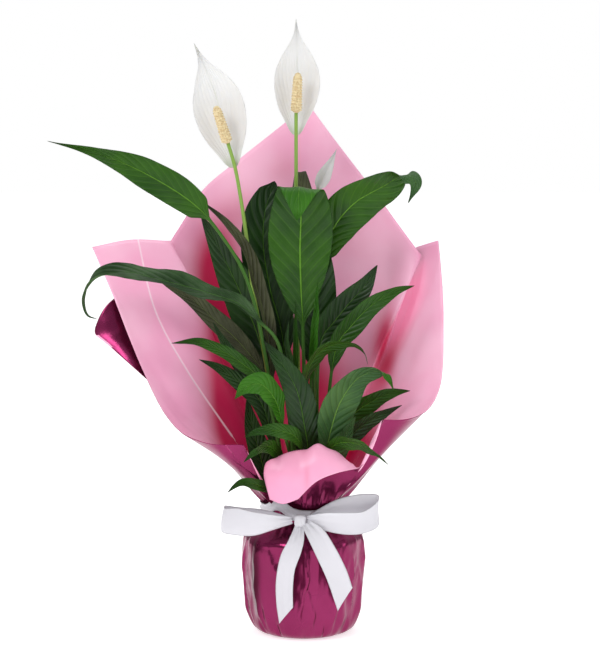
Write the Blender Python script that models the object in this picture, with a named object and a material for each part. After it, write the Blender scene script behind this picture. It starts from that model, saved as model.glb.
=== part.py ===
"""A potted peace lily in a two-tone film wrapper tied with a satin bow.

Metres, +Z up. The origin is the centre of the wrapped pot's underside, +X is the plant's right
as it faces a viewer who stands on the -Y side. Tables of places are in millimetres.
"""

import math
from dataclasses import dataclass

import bmesh
import bpy
from mathutils import Vector

MM = 0.001
GAP = 0.3 * MM                   # clearance between pieces that touch
WELD = 0.001 * MM

# Driving dimensions of the pot and of the film that covers it
POT_RIM_RADIUS = 60 * MM
POT_BASE_RADIUS = 43 * MM
POT_HEIGHT = 96 * MM
POT_WALL = 1.3 * MM
POT_RIM_BAND = 9 * MM
POT_RIM_STEP = 2 * MM            # how far the rim band stands out from the pot's side
SOIL_DEPTH = 84 * MM
SOIL_CLEARANCE = 1 * MM
SOIL_SHOULDER = 3 * MM           # the rounded edge of the soil's surface
FILM = 0.6 * MM
FILM_SLACK = 4 * MM              # how far the film stands off the pot's rim
NECK_RADIUS = 41 * MM
NECK_HEIGHT = 128 * MM
FLAT_RADIUS = POT_BASE_RADIUS + 1 * MM

# Plant
STALK_RADIUS = 1.7 * MM
STALK_RISE = 12 * MM             # the upright foot of a stalk
BLADE_EDGE = 0.35 * MM           # half the thickness at a blade's margin
BLADE_RIB = 0.7 * MM             # half the thickness at its midrib
SPADIX_RADIUS = 5.5 * MM

# Ribbon
RIBBON = 0.8 * MM
BAND_FLARE = 1 * MM              # how much wider the band round the neck is at its foot
KNOT_SIZE = Vector((15, 10, 16)) * MM
KNOT_PLACE = Vector((-6, -54, 127)) * MM
KNOT_BEVEL = 3 * MM

POT_BOTTOM = FILM + GAP
SOIL_TOP = POT_BOTTOM + POT_WALL + GAP + SOIL_DEPTH
CROWN = SOIL_TOP + GAP           # where every stalk starts

ROUND_SEGMENTS = 32
BAND_SEGMENTS = 40
STALK_SIDES = 6
SPADIX_SIDES = 10
FLARE_ROWS = 10
COLUMNS_PER_RIB = 2
SHARP_FROM = 0.3                 # the share of the flare from which its corners sharpen
SHARP_TO = 0.95
BLADE_STATIONS = 9
STALK_STATIONS = 5
SPATHE_STATIONS = 10
STRIP_STATIONS = 3               # for each stretch between two places of a ribbon


@dataclass(frozen=True)
class Finish:
    """The colour, roughness and metallic value of one material."""

    name: str
    colour: tuple
    roughness: float
    metallic: float = 0.0


FILM_FINISH = Finish("pink_film", (0.80, 0.30, 0.48), 0.35, 0.3)
POT_FINISH = Finish("pot_plastic", (0.03, 0.03, 0.03), 0.5)
SOIL_FINISH = Finish("potting_soil", (0.05, 0.03, 0.02), 0.95)
LEAF_FINISH = Finish("leaf_green", (0.03, 0.12, 0.02), 0.35)
STALK_FINISH = Finish("stalk_green", (0.22, 0.42, 0.08), 0.45)
SPATHE_FINISH = Finish("spathe_white", (0.86, 0.87, 0.84), 0.5)
SPADIX_FINISH = Finish("spadix_cream", (0.80, 0.70, 0.42), 0.7)
RIBBON_FINISH = Finish("satin_ribbon", (0.85, 0.85, 0.87), 0.3)


# ---------------------------------------------------------------- curves and meshes

def curve_point(before, start, end, after, share):
    """A point on the smooth curve between start and end, by centripetal Catmull-Rom."""
    knots = [0.0]
    for first, second in ((before, start), (start, end), (end, after)):
        knots.append(knots[-1] + max((second - first).length, WELD) ** 0.5)
    t0, t1, t2, t3 = knots
    t = t1 + (t2 - t1) * share

    def blend(a, b, ta, tb):
        return a * ((tb - t) / (tb - ta)) + b * ((t - ta) / (tb - ta))

    a1 = blend(before, start, t0, t1)
    a2 = blend(start, end, t1, t2)
    a3 = blend(end, after, t2, t3)
    b1 = blend(a1, a2, t0, t2)
    b2 = blend(a2, a3, t1, t3)
    return blend(b1, b2, t1, t2)


def smooth_path(points, steps=12):
    """A dense open curve through the points."""
    padded = [2 * points[0] - points[1], *points, 2 * points[-1] - points[-2]]
    dense = []
    for index in range(len(points) - 1):
        for step in range(steps):
            dense.append(curve_point(*padded[index:index + 4], step / steps))
    return [*dense, points[-1].copy()]


def along(path, share):
    """The point at a share of a dense path's length, and the direction there."""
    lengths = [(b - a).length for a, b in zip(path, path[1:])]
    target = share * sum(lengths)
    for index, length in enumerate(lengths):
        if target <= length or index == len(lengths) - 1:
            step = path[index + 1] - path[index]
            return path[index] + step * min(1.0, target / length), step.normalized()
        target -= length
    return path[-1], (path[-1] - path[-2]).normalized()


def millimetres(*points):
    """The points of a table as vectors in metres."""
    return [Vector(point) * MM for point in points]


def smoothstep(low, high, value):
    """0 below low, 1 above high, and a smooth rise between them."""
    share = min(1.0, max(0.0, (value - low) / (high - low)))
    return share * share * (3 - 2 * share)


def lattice(columns, rows, place, closed):
    """A grid of quads whose corners go where place(column, row) says, its seam welded."""
    bm = bmesh.new()
    bmesh.ops.create_grid(bm, x_segments=columns, y_segments=rows, size=0.5)
    for vertex in bm.verts:
        column = round((vertex.co.x + 0.5) * columns)
        row = round((vertex.co.y + 0.5) * rows)
        vertex.co = place(column % columns if closed else column, row)
    bmesh.ops.remove_doubles(bm, verts=bm.verts, dist=WELD)
    return bm


def add_object(name, bm, finish, smooth_angle=40):
    """Makes an object with its material from a bmesh."""
    mesh = bpy.data.meshes.new(name)
    bm.to_mesh(mesh)
    bm.free()
    mesh.materials.append(material(finish))
    mesh.shade_smooth()
    mesh.set_sharp_from_angle(angle=math.radians(smooth_angle))
    made = bpy.data.objects.new(name, mesh)
    bpy.context.scene.collection.objects.link(made)
    return made


def material(finish):
    """The Principled material of a finish, made once."""
    found = bpy.data.materials.get(finish.name)
    if found:
        return found
    made = bpy.data.materials.new(finish.name)
    made.use_nodes = True
    shader = made.node_tree.nodes["Principled BSDF"]
    shader.inputs["Base Color"].default_value = (*finish.colour, 1)
    shader.inputs["Roughness"].default_value = finish.roughness
    shader.inputs["Metallic"].default_value = finish.metallic
    return made


def ring_solid(name, rings, finish):
    """A closed solid through rings of equal point counts, capped at both ends."""
    sides = len(rings[0])
    bm = lattice(sides, len(rings) - 1, lambda column, row: rings[row][column], True)
    rims = [edge for edge in bm.edges if edge.is_boundary]
    bmesh.ops.holes_fill(bm, edges=rims, sides=0)
    bmesh.ops.recalc_face_normals(bm, faces=bm.faces)
    return add_object(name, bm, finish)


def turned_solid(name, profile, finish, segments=ROUND_SEGMENTS):
    """A solid turned about the Z axis from an (r, z) profile that starts and ends on it."""
    bm = bmesh.new()
    points = [bm.verts.new((radius, 0, height)) for radius, height in profile]
    edges = [bm.edges.new(pair) for pair in zip(points, points[1:])]
    bmesh.ops.spin(bm, geom=points + edges, axis=(0, 0, 1), cent=(0, 0, 0),
                   angle=math.tau, steps=segments, use_merge=True)
    bmesh.ops.remove_doubles(bm, verts=bm.verts, dist=WELD)
    bmesh.ops.recalc_face_normals(bm, faces=bm.faces)
    return add_object(name, bm, finish)


# ---------------------------------------------------------------- wrapper

@dataclass(frozen=True)
class Rib:
    """A line of the film from the tie out to the sheet's edge, at an azimuth round the neck.

    The azimuth is in degrees, 0 to the right and 90 to the back. The points are millimetres.
    A corner rib is one where the sheet's edge turns or folds sharply.
    """

    azimuth: float
    points: tuple
    corner: bool = False


RIBS = (
    # right flap, from the right dip beside the tongue to the sheet's right corner
    Rib(303, ((42, -46, 158), (59, -62, 184))),
    Rib(309, ((50, -50, 165), (78, -84, 233)), True),
    Rib(316, ((62, -56, 175), (102, -76, 232))),
    Rib(323, ((70, -52, 180), (119, -60, 235))),
    Rib(332, ((84, -44, 194), (131, -38, 243))),
    Rib(341, ((92, -30, 206), (139, -17, 258))),
    Rib(350, ((97, -12, 222), (142, -2, 276))),
    Rib(359, ((98, 8, 232), (144, 20, 304))),
    Rib(8, ((96, 28, 240), (144, 40, 345))),
    Rib(18, ((92, 46, 260), (132, 54, 350), (140, 60, 398)), True),
    Rib(26, ((74, 62, 240), (110, 88, 325), (119, 92, 388)), True),
    # pleat where the back panel folds over the right flap
    Rib(32, ((62, 62, 225), (92, 86, 300), (104, 98, 350))),
    Rib(37, ((69, 46, 260), (100, 58, 330), (123, 72, 381)), True),
    # back panel, over the sheet's back corner
    Rib(46, ((64, 58, 255), (88, 78, 330), (99, 84, 413))),
    Rib(57, ((52, 68, 250), (70, 84, 350), (76, 95, 444))),
    Rib(69, ((36, 72, 250), (48, 88, 365), (52, 104, 475))),
    Rib(83, ((18, 74, 260), (26, 94, 390), (28, 112, 506))),
    Rib(97, ((0, 74, 260), (4, 96, 400), (5, 120, 537)), True),
    Rib(110, ((-20, 72, 250), (-30, 92, 380), (-32, 113, 508))),
    Rib(124, ((-42, 70, 240), (-62, 88, 355), (-69, 107, 479))),
    Rib(137, ((-56, 66, 235), (-88, 82, 340), (-105, 100, 449))),
    Rib(147, ((-64, 60, 230), (-104, 72, 330), (-124, 84, 420))),
    # pleat where the left flap folds over the back panel
    Rib(154, ((-66, 44, 225), (-110, 60, 325), (-139, 68, 397)), True),
    Rib(161, ((-54, 14, 200), (-84, 16, 275), (-118, 32, 360), (-141, 44, 399)), True),
    # left flap, round the sheet's left corner
    Rib(169, ((-76, -2, 210), (-120, 6, 300), (-178, 26, 402))),
    Rib(177, ((-90, -18, 212), (-146, -8, 300), (-216, 10, 396)), True),
    Rib(185, ((-94, -28, 208), (-142, -22, 274), (-197, -4, 354))),
    Rib(192, ((-96, -36, 204), (-138, -34, 254), (-178, -24, 310))),
    Rib(199, ((-92, -44, 196), (-128, -48, 232), (-158, -44, 268))),
    Rib(206, ((-84, -52, 188), (-138, -62, 234))),
    Rib(216, ((-76, -60, 182), (-119, -77, 217))),
    Rib(227, ((-58, -66, 178), (-91, -90, 210))),
    Rib(234, ((-44, -56, 168), (-60, -84, 208)), True),
    # left dip and the front corner, which folds forward as a tongue
    Rib(239, ((-26, -38, 143), (-33, -44, 148))),
    Rib(245, ((-20, -41, 143), (-25, -47, 148))),
    Rib(251, ((-24, -48, 152), (-37, -58, 186), (-40, -64, 176), (-34, -64, 149)), True),
    Rib(260, ((-14, -50, 160), (-19, -60, 195), (-23, -71, 180), (-21, -71, 146))),
    Rib(270, ((-3, -47, 165), (-4, -57, 198), (-5, -71, 182), (-6, -73, 151)), True),
    Rib(281, ((8, -51, 168), (14, -60, 205), (16, -72, 194), (13, -77, 170))),
    Rib(290, ((22, -48, 162), (32, -60, 197), (36, -70, 190), (33, -75, 178))),
    Rib(297, ((34, -45, 156), (48, -58, 184), (51, -71, 181)), True),
)

FOLD_RIB = 37                    # where the back panel folds sharply over the right flap
VALLEY_RIB = 32                  # where the two sides of a pleat press together
VALLEY_GAP = 5 * MM              # left between the pieces there
# The flared film's pieces, each between two ribs given by their azimuths
PANELS = (
    ("film_right_flap_front", 303, 341),
    ("film_right_flap_back", 341, 26),
    ("film_right_pleat_front", 26, 32),
    ("film_right_pleat_middle", 32, 37),
    ("film_right_pleat_back", 37, 57),
    ("film_back_panel_right", 57, 97),
    ("film_back_panel_left", 97, 137),
    ("film_left_pleat", 137, 161),
    ("film_left_flap_back", 161, 185),
    ("film_left_flap_front", 185, 251),
    ("film_front_tongue", 251, 303),
)

# The covered part as (radius, height, share of the neck's pleats), from the base outwards
COVER_PROFILE = (
    (0 * MM, 0 * MM, 0.0),
    (FLAT_RADIUS / 2, 0 * MM, 0.0),
    (FLAT_RADIUS, 0 * MM, 0.0),
    (POT_BASE_RADIUS + 9 * MM, 7 * MM, 0.0),
    (POT_BASE_RADIUS + 15 * MM, 24 * MM, 0.2),
    (POT_RIM_RADIUS + 1.6 * MM, 56 * MM, 0.1),
    (POT_RIM_RADIUS + FILM_SLACK, 91 * MM, 0.1),
    (POT_RIM_RADIUS + 2 * MM, 100 * MM, 0.2),
    (NECK_RADIUS + 9 * MM, 113 * MM, 0.6),
    (NECK_RADIUS + 1 * MM, 121 * MM, 0.7),
    (NECK_RADIUS, NECK_HEIGHT, 0.8),
)
COLLAR_RISE = 8 * MM             # the tie's upper edge above the neck's middle
PLEATS = 13
PLEAT_DEPTH = 2.4 * MM


def pleat(azimuth, share):
    """How far a pleat stands out at an azimuth in radians."""
    wave = math.cos(PLEATS * azimuth) * 0.7 + math.cos((PLEATS - 5) * azimuth + 1.1) * 0.3
    return PLEAT_DEPTH * share * wave


def cover_point(azimuth, radius, height, share):
    """A point of the film that covers the pot."""
    out = radius + pleat(azimuth, share)
    return Vector((out * math.cos(azimuth), out * math.sin(azimuth), height))


def flare_rows(rib):
    """The points of one line of film, from the tie's upper edge to the sheet's edge."""
    collar = cover_point(math.radians(rib.azimuth), NECK_RADIUS, NECK_HEIGHT + COLLAR_RISE, 0.8)
    flare = smooth_path([collar, *millimetres(*rib.points)])
    return [along(flare, step / FLARE_ROWS)[0] for step in range(FLARE_ROWS + 1)]


def flare_point(lines, column, row):
    """A point of the flared film, on a curve that keeps the sheet's corners sharp."""
    count = len(RIBS)
    index, step = divmod(column, COLUMNS_PER_RIB)
    before, start, end, after = (lines[(index + offset) % count][row]
                                 for offset in (-1, 0, 1, 2))
    sharp = smoothstep(SHARP_FROM, SHARP_TO, row / FLARE_ROWS)
    if RIBS[index % count].corner:
        before = before.lerp(2 * start - end, sharp)
    if RIBS[(index + 1) % count].corner:
        after = after.lerp(2 * end - start, sharp)
    return curve_point(before, start, end, after, step / COLUMNS_PER_RIB)


def flare_normal(lines, column, row, before=1, after=1):
    """The direction out of the film's outer face, from the columns before and after."""
    columns = len(RIBS) * COLUMNS_PER_RIB
    low, high = max(row - 1, 0), min(row + 1, FLARE_ROWS)
    across = (flare_point(lines, (column + after) % columns, row)
              - flare_point(lines, (column - before) % columns, row))
    up = flare_point(lines, column, high) - flare_point(lines, column, low)
    return across.cross(up).normalized()


def build_cover():
    """The film under the pot, up its side and in to the tie."""
    columns = len(RIBS) * COLUMNS_PER_RIB

    def place(column, row):
        index, step = divmod(column, COLUMNS_PER_RIB)
        first = RIBS[index].azimuth
        turn = (RIBS[(index + 1) % len(RIBS)].azimuth - first) % 360
        azimuth = math.radians(first + turn * step / COLUMNS_PER_RIB)
        if row < len(COVER_PROFILE):
            return cover_point(azimuth, *COVER_PROFILE[row])
        return cover_point(azimuth, NECK_RADIUS, NECK_HEIGHT + COLLAR_RISE, 0.8)

    bm = lattice(columns, len(COVER_PROFILE), place, True)
    side = min(bm.faces, key=lambda face: abs(face.calc_center_median().z - 0.07))
    middle = side.calc_center_median()
    if side.normal.dot(Vector((middle.x, middle.y, 0))) < 0:
        bmesh.ops.reverse_faces(bm, faces=bm.faces)
    cover = add_object("film_pot_cover", bm, FILM_FINISH, 60)
    shell = cover.modifiers.new("film", "SOLIDIFY")
    shell.thickness = FILM
    shell.offset = -1
    return cover


def build_panel(name, first, last, lines):
    """One closed piece of the flared film between two ribs, clear of its neighbours.

    Every row is a ring down the outer face and back along the inner one. A row of points in
    the middle of the film's thickness closes each end. Both faces are cut into triangles along
    their shorter diagonals, because the film's squares are twisted where it folds.
    """
    azimuths = [rib.azimuth for rib in RIBS]
    start = azimuths.index(first)
    span = (azimuths.index(last) - start) % len(RIBS)
    count = span * COLUMNS_PER_RIB
    columns = len(RIBS) * COLUMNS_PER_RIB

    def face_pair(step, row):
        column = (start * COLUMNS_PER_RIB + step) % columns
        point = flare_point(lines, column, row)
        if step in (0, count):
            inward = 1 if step == 0 else -1
            beside = flare_point(lines, (column + inward) % columns, row)
            gap = VALLEY_GAP if VALLEY_RIB == (last if step else first) else GAP
            point += (beside - point).normalized() * gap / 2
        if row == 0:
            point += (flare_point(lines, column, 1) - point).normalized() * GAP
        before = int(step > 0 or first != FOLD_RIB)
        after = int(step < count or last != FOLD_RIB)
        return point, point - flare_normal(lines, column, row, before, after) * FILM

    def place(column, row):
        inner = column > count
        step = 2 * count + 1 - column if inner else column
        level = min(max(row - 1, 0), FLARE_ROWS)
        pair = face_pair(step, level)
        if row in (0, FLARE_ROWS + 2):
            return (pair[0] + pair[1]) / 2
        return pair[inner]

    bm = lattice(2 * count + 2, FLARE_ROWS + 2, place, True)
    bmesh.ops.triangulate(bm, faces=bm.faces, quad_method="SHORT_EDGE")
    bmesh.ops.recalc_face_normals(bm, faces=bm.faces)
    if bm.calc_volume(signed=True) < 0:
        bmesh.ops.reverse_faces(bm, faces=bm.faces)
    return add_object(name, bm, FILM_FINISH, 60)


def build_wrapper():
    """One sheet of film, in the pieces that its collision shape needs."""
    build_cover()
    lines = [flare_rows(rib) for rib in RIBS]
    for name, first, last in PANELS:
        build_panel(name, first, last, lines)


# ---------------------------------------------------------------- pot and soil

def build_pot():
    """The grower's pot: a tapered cup with a stepped rim band."""
    side_top = POT_RIM_RADIUS - POT_RIM_STEP
    band_foot = POT_BOTTOM + POT_HEIGHT - POT_RIM_BAND
    top = POT_BOTTOM + POT_HEIGHT
    profile = [
        (0, POT_BOTTOM),
        (POT_BASE_RADIUS, POT_BOTTOM),
        (side_top, band_foot),
        (POT_RIM_RADIUS, band_foot + POT_WALL / 2),
        (POT_RIM_RADIUS, top),
        (POT_RIM_RADIUS - POT_WALL, top),
        (side_top - POT_WALL, band_foot - POT_WALL),
        (POT_BASE_RADIUS - POT_WALL, POT_BOTTOM + POT_WALL),
        (0, POT_BOTTOM + POT_WALL),
    ]
    return turned_solid("grower_pot", profile, POT_FINISH)


def build_soil():
    """The potting mix, which fills the pot to just under its rim."""
    floor = POT_BOTTOM + POT_WALL + GAP
    foot = POT_BASE_RADIUS - POT_WALL - SOIL_CLEARANCE
    shoulder = POT_RIM_RADIUS - POT_RIM_STEP - POT_WALL - 1.4 * SOIL_CLEARANCE
    profile = [(0, floor), (foot, floor), (shoulder, SOIL_TOP - SOIL_SHOULDER),
               (shoulder - SOIL_SHOULDER, SOIL_TOP), (0, SOIL_TOP)]
    return turned_solid("potting_soil", profile, SOIL_FINISH)


# ---------------------------------------------------------------- leaves

@dataclass(frozen=True)
class Leaf:
    """A leaf with its own stalk, from the crown to its tip.

    root is its place on the soil and path the places that its midrib passes, all in
    millimetres. side points across the blade, and side_tip does so at its tip. stalk is the
    share of the length that is stalk, fold the rise of each half of the blade in degrees.
    """

    name: str
    root: tuple
    path: tuple
    width: float
    side: tuple
    stalk: float
    fold: float = 14
    side_tip: tuple = None
    widest: float = 0.42


LEAVES = (
    # behind, tall
    Leaf("leaf_back_left", (-10, 19), ((-22, 32, 300), (-35, 41, 350), (-42, 46, 395),
         (-40, 48, 430), (-30, 48, 461)), 50, (1, 0, 0.1), 0.48),
    Leaf("leaf_back_centre", (2, 27), ((0, 43, 300), (0, 48, 400), (-2, 47, 452),
         (-4, 53, 470), (-5, 64, 455)), 40, (1, 0, 0), 0.55),
    Leaf("leaf_right_behind", (11, 9), ((10, 10, 250), (12, 10, 330), (13, 10, 390),
         (8, 12, 432)), 44, (1, 0, 0.1), 0.52, 5),
    Leaf("leaf_right_high", (13, 18), ((14, 25, 340), (20, 26, 382), (30, 23, 413),
         (51, 15, 440), (80, 6, 458), (103, 0, 470), (113, -5, 463), (105, -11, 442)),
         50, (0.62, 0.1, -0.75), 0.62, 16, (0.9, 0.1, 0.2)),
    Leaf("leaf_left_broad", (-17, 13), ((-44, 22, 290), (-60, 24, 335), (-74, 25, 366),
         (-90, 24, 399), (-106, 22, 429)), 42, (0.86, 0.05, 0.5), 0.45),
    Leaf("leaf_left_folded", (-19, 8), ((-38, -1, 312), (-50, -1, 362), (-62, -1, 398),
         (-80, -1, 422), (-106, -1, 446)), 26, (0.6, 0.5, 0.6), 0.45, 50),
    Leaf("leaf_centre", (1, 2), ((-1, 2, 312), (-3, 4, 354), (-4, 5, 393), (-3, 2, 432),
         (-4, -6, 458), (-5, -17, 457), (-6, -27, 441), (-7, -31, 426)),
         70, (1, 0, -0.08), 0.54, 12, None, 0.5),
    # left side
    Leaf("leaf_left_high", (-15, -3), ((-42, -13, 302), (-60, -16, 371), (-83, -18, 410),
         (-108, -22, 440), (-159, -32, 474), (-205, -39, 494), (-255, -45, 507)),
         36, (0.35, 0.25, 0.9), 0.66, 14),
    Leaf("leaf_left_arching", (-7, -14), ((-26, -24, 302), (-42, -29, 322), (-64, -33, 342),
         (-97, -39, 355), (-138, -45, 367), (-179, -51, 377), (-207, -56, 371),
         (-219, -60, 352), (-215, -62, 335), (-205, -62, 331)),
         30, (0.25, 0.85, 0.5), 0.5, 24),
    Leaf("leaf_left_under", (-21, 1), ((-42, -4, 268), (-58, -7, 291), (-72, -9, 307),
         (-91, -11, 324), (-112, -13, 344), (-146, -17, 364)), 24, (0.5, 0.3, 0.8), 0.55, 20),
    Leaf("leaf_left_narrow", (-24, -7), ((-43, -13, 241), (-59, -20, 270), (-79, -25, 300),
         (-92, -28, 324)), 18, (0.8, 0, 0.5), 0.5, 18),
    Leaf("leaf_left_thin", (-12, -14), ((-42, -37, 263), (-60, -43, 282), (-82, -48, 297),
         (-106, -53, 307), (-133, -56, 306)), 16, (0.3, 0.4, 0.9), 0.55),
    Leaf("leaf_left_pointed", (-17, -10), ((-43, -26, 240), (-65, -34, 263), (-88, -40, 280),
         (-106, -43, 288)), 22, (0.5, 0.2, 0.85), 0.45, 18),
    Leaf("leaf_left_bright", (-8, -21), ((-14, -41, 190), (-20, -52, 215), (-26, -63, 243),
         (-33, -70, 258), (-44, -77, 268), (-57, -82, 266), (-69, -86, 254)),
         30, (0.15, 0.45, 0.85), 0.6, 14),
    Leaf("leaf_left_low_dark", (-25, -12), ((-46, -16, 190), (-54, -16, 220),
         (-58, -17, 246)), 24, (0.9, 0.2, 0.3), 0.35),
    Leaf("leaf_left_rim_upper", (-2, -27), ((-2, -42, 185), (-5, -54, 207), (-18, -67, 218),
         (-42, -76, 221), (-60, -80, 215)), 18, (0.2, 0.5, 0.8), 0.55, 16),
    Leaf("leaf_left_rim_lower", (-9, -27), ((-22, -39, 180), (-29, -55, 197), (-37, -74, 205),
         (-48, -92, 203), (-60, -98, 193)), 16, (0.3, 0.3, 0.85), 0.5, 16),
    Leaf("leaf_outside_left", (-18, -16), ((-20, -25, 134), (-24, -35, 150), (-32, -46, 157),
         (-41, -58, 161), (-51, -69, 166), (-64, -75, 168), (-77, -77, 158)),
         13, (0.2, 0.5, 0.85), 0.5, 14),
    # right side
    Leaf("leaf_right_mid_back", (17, 3), ((18, 1, 302), (30, 2, 319), (45, 2, 338),
         (61, 2, 356), (75, 1, 379)), 34, (0.72, 0.1, -0.7), 0.62),
    Leaf("leaf_right_mid_front", (19, -6), ((33, -13, 296), (47, -15, 317), (68, -17, 339),
         (92, -19, 354), (112, -21, 360)), 26, (0.5, 0.2, -0.85), 0.58, 22),
    Leaf("leaf_right_arching", (9, -13), ((0, -30, 250), (9, -36, 286), (26, -41, 301),
         (46, -45, 304), (60, -48, 296), (64, -50, 283)), 22, (0.25, 0.75, -0.6), 0.58, 16),
    Leaf("leaf_right_low_front", (10, -21), ((27, -40, 215), (39, -47, 250), (58, -54, 273),
         (80, -61, 277), (90, -64, 259)), 40, (0.8, 0.25, -0.5), 0.42, 20),
    Leaf("leaf_right_low_back", (23, -1), ((47, -20, 223), (69, -24, 242), (91, -28, 252),
         (108, -30, 254)), 24, (0.5, 0.2, -0.85), 0.5, 18),
    Leaf("leaf_right_low_mid", (22, -12), ((36, -28, 195), (53, -36, 214), (77, -42, 231),
         (99, -46, 242)), 22, (0.5, 0.3, -0.8), 0.4, 18),
    Leaf("leaf_right_small_pale", (15, -20), ((30, -38, 185), (38, -44, 201), (45, -49, 218),
         (52, -53, 232)), 22, (0.9, 0.2, -0.4), 0.45),
    Leaf("leaf_right_rim", (6, -27), ((20, -46, 185), (32, -58, 204), (48, -72, 208),
         (67, -88, 203), (84, -98, 190)), 18, (0.4, 0.3, -0.85), 0.52, 16),
    # middle
    Leaf("leaf_front_centre", (4, -18), ((4, -34, 195), (0, -41, 222), (-7, -44, 256),
         (-22, -43, 283), (-41, -39, 307)), 34, (1, 0.1, 0.3), 0.36, 16),
    Leaf("leaf_young_rolled", (6, -6), ((8, -16, 294), (11, -17, 329), (14, -17, 364)),
         17, (1, 0.3, 0), 0.62, 58),
    Leaf("leaf_young_upright", (-4, -6), ((-9, -13, 289), (-9, -14, 318), (-8, -14, 346)),
         9, (1, 0.5, 0), 0.62, 40),
    Leaf("leaf_young_sheath", (-8, 3), ((-14, -4, 280), (-18, -5, 300), (-15, -5, 323)),
         9, (1, 0.4, 0), 0.7, 40),
)


def stalk_foot(root):
    """The first two points of a stalk, which stands upright on the soil."""
    foot = Vector((root[0] * MM, root[1] * MM, CROWN))
    return [foot, foot + Vector((0, 0, STALK_RISE))]


def blade_share(share, widest):
    """The half-width of a blade against its largest, at a share of its length."""
    power = math.log(0.5) / math.log(widest)
    return math.sin(math.pi * min(1.0, share) ** power) ** 0.9


def cross_frame(direction, side):
    """The unit vectors across a path and out of its face."""
    across = (side - side.project(direction)).normalized()
    return across, across.cross(direction)


def leaf_ring(centre, direction, side, half, blade, fold):
    """Six points round a leaf: a stalk where blade is 0, a folded blade where it is 1."""
    across, out = cross_frame(direction, side)
    rise = math.tan(math.radians(fold))
    ring = []
    for x, y in ((-1, 1), (0, 1), (1, 1), (1, -1), (0, -1), (-1, -1)):
        round_x = STALK_RADIUS * 0.87 * x
        round_y = STALK_RADIUS * (0.5 if x else 1.0) * y
        flat_x = half * math.cos(math.radians(fold)) * x
        flat_y = (BLADE_EDGE if x else BLADE_RIB) * y + abs(flat_x) * rise
        shift_x = round_x + (flat_x - round_x) * blade
        shift_y = round_y + (flat_y - round_y) * blade
        ring.append(centre + across * shift_x + out * shift_y)
    return ring


def build_leaf(leaf):
    """One leaf as a closed solid: a round stalk that widens into a folded blade."""
    path = smooth_path([*stalk_foot(leaf.root), *millimetres(*leaf.path)])
    side = Vector(leaf.side).normalized()
    side_tip = Vector(leaf.side_tip or leaf.side).normalized()
    stations = [leaf.stalk * step / STALK_STATIONS for step in range(STALK_STATIONS)]
    stations += [leaf.stalk + (1 - leaf.stalk) * step / BLADE_STATIONS
                 for step in range(BLADE_STATIONS + 1)]
    rings = []
    for station in stations:
        centre, direction = along(path, station)
        share = (station - leaf.stalk) / (1 - leaf.stalk)
        half = leaf.width * MM / 2 * blade_share(max(share, 0.0), leaf.widest)
        blade = smoothstep(-0.02, 0.12, share)
        turn = side.lerp(side_tip, smoothstep(0, 1, share))
        rings.append(leaf_ring(centre, direction, turn, max(half, 0.5 * MM), blade, leaf.fold))
    return ring_solid(leaf.name, rings, LEAF_FINISH)


# ---------------------------------------------------------------- flowers

@dataclass(frozen=True)
class Flower:
    """A flower on its own stalk. All places are in millimetres.

    spathe is the path of the white bract's midline from the stalk to its tip, and spadix the
    two ends of the spike that stands in front of it, or nothing in a closed bud.
    """

    name: str
    root: tuple
    stalk: tuple
    spathe: tuple
    width: float
    side: tuple
    cup: float
    spadix: tuple = ()


FLOWERS = (
    Flower("flower_left", (-13, 10), ((-43, 14, 300), (-52, 15, 350), (-58, 13, 401),
           (-64, 9, 444), (-71, 6, 487), (-78, 5, 504)),
           ((-78, 6, 506), (-83, 12, 524), (-89, 14, 545), (-98, 12, 570), (-111, 6, 603)),
           58, (0.93, 0, 0.35), 26, ((-78, 0, 509), (-88, -3, 542))),
    Flower("flower_right", (-3, 18), ((-7, 26, 340), (-8, 26, 402), (-8, 24, 462),
           (-8, 23, 500), (-7, 22, 533)),
           ((-7, 23, 535), (-6, 30, 553), (-6, 32, 575), (-7, 30, 600), (-6, 26, 627)),
           53, (1, 0, -0.05), 26, ((-7, 17, 537), (-4, 14, 576))),
    Flower("flower_bud", (6, 24), ((10, 33, 340), (12, 34, 402), (14, 34, 455)),
           ((14, 34, 457), (20, 33, 470), (27, 31, 482), (33, 29, 491)),
           15, (0.9, 0, -0.5), 50),
)


def tube_rings(points, radius, stations):
    """Rings of a round stalk along a smooth path."""
    path = smooth_path(points)
    rings = []
    for step in range(stations + 1):
        centre, direction = along(path, step / stations)
        across, out = cross_frame(direction, Vector((1, 0, 0)))
        rings.append([centre + (across * math.cos(turn) + out * math.sin(turn)) * radius
                      for turn in (math.tau * side / STALK_SIDES
                                   for side in range(STALK_SIDES))])
    return rings


def build_spathe(flower):
    """The white bract: a cupped blade with a long point."""
    path = smooth_path(millimetres(*flower.spathe))
    side = Vector(flower.side).normalized()
    rings = []
    for step in range(SPATHE_STATIONS + 1):
        share = step / SPATHE_STATIONS
        centre, direction = along(path, share)
        half = flower.width * MM / 2 * blade_share(0.06 + 0.94 * share, 0.4)
        rings.append(leaf_ring(centre, direction, side, max(half, 0.5 * MM), 1, flower.cup))
    return ring_solid(f"{flower.name}_spathe", rings, SPATHE_FINISH)


def build_spadix(flower):
    """The blunt spike in front of the bract."""
    low, high = millimetres(*flower.spadix)
    rings = []
    for share, swell in ((0, 0.45), (0.12, 0.85), (0.4, 1.0), (0.75, 0.9), (0.94, 0.6),
                         (1.0, 0.25)):
        centre = low.lerp(high, share)
        across, out = cross_frame((high - low).normalized(), Vector((1, 0, 0)))
        radius = SPADIX_RADIUS * swell
        rings.append([centre + (across * math.cos(turn) + out * math.sin(turn)) * radius
                      for turn in (math.tau * side / SPADIX_SIDES
                                   for side in range(SPADIX_SIDES))])
    return ring_solid(f"{flower.name}_spadix", rings, SPADIX_FINISH)


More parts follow.
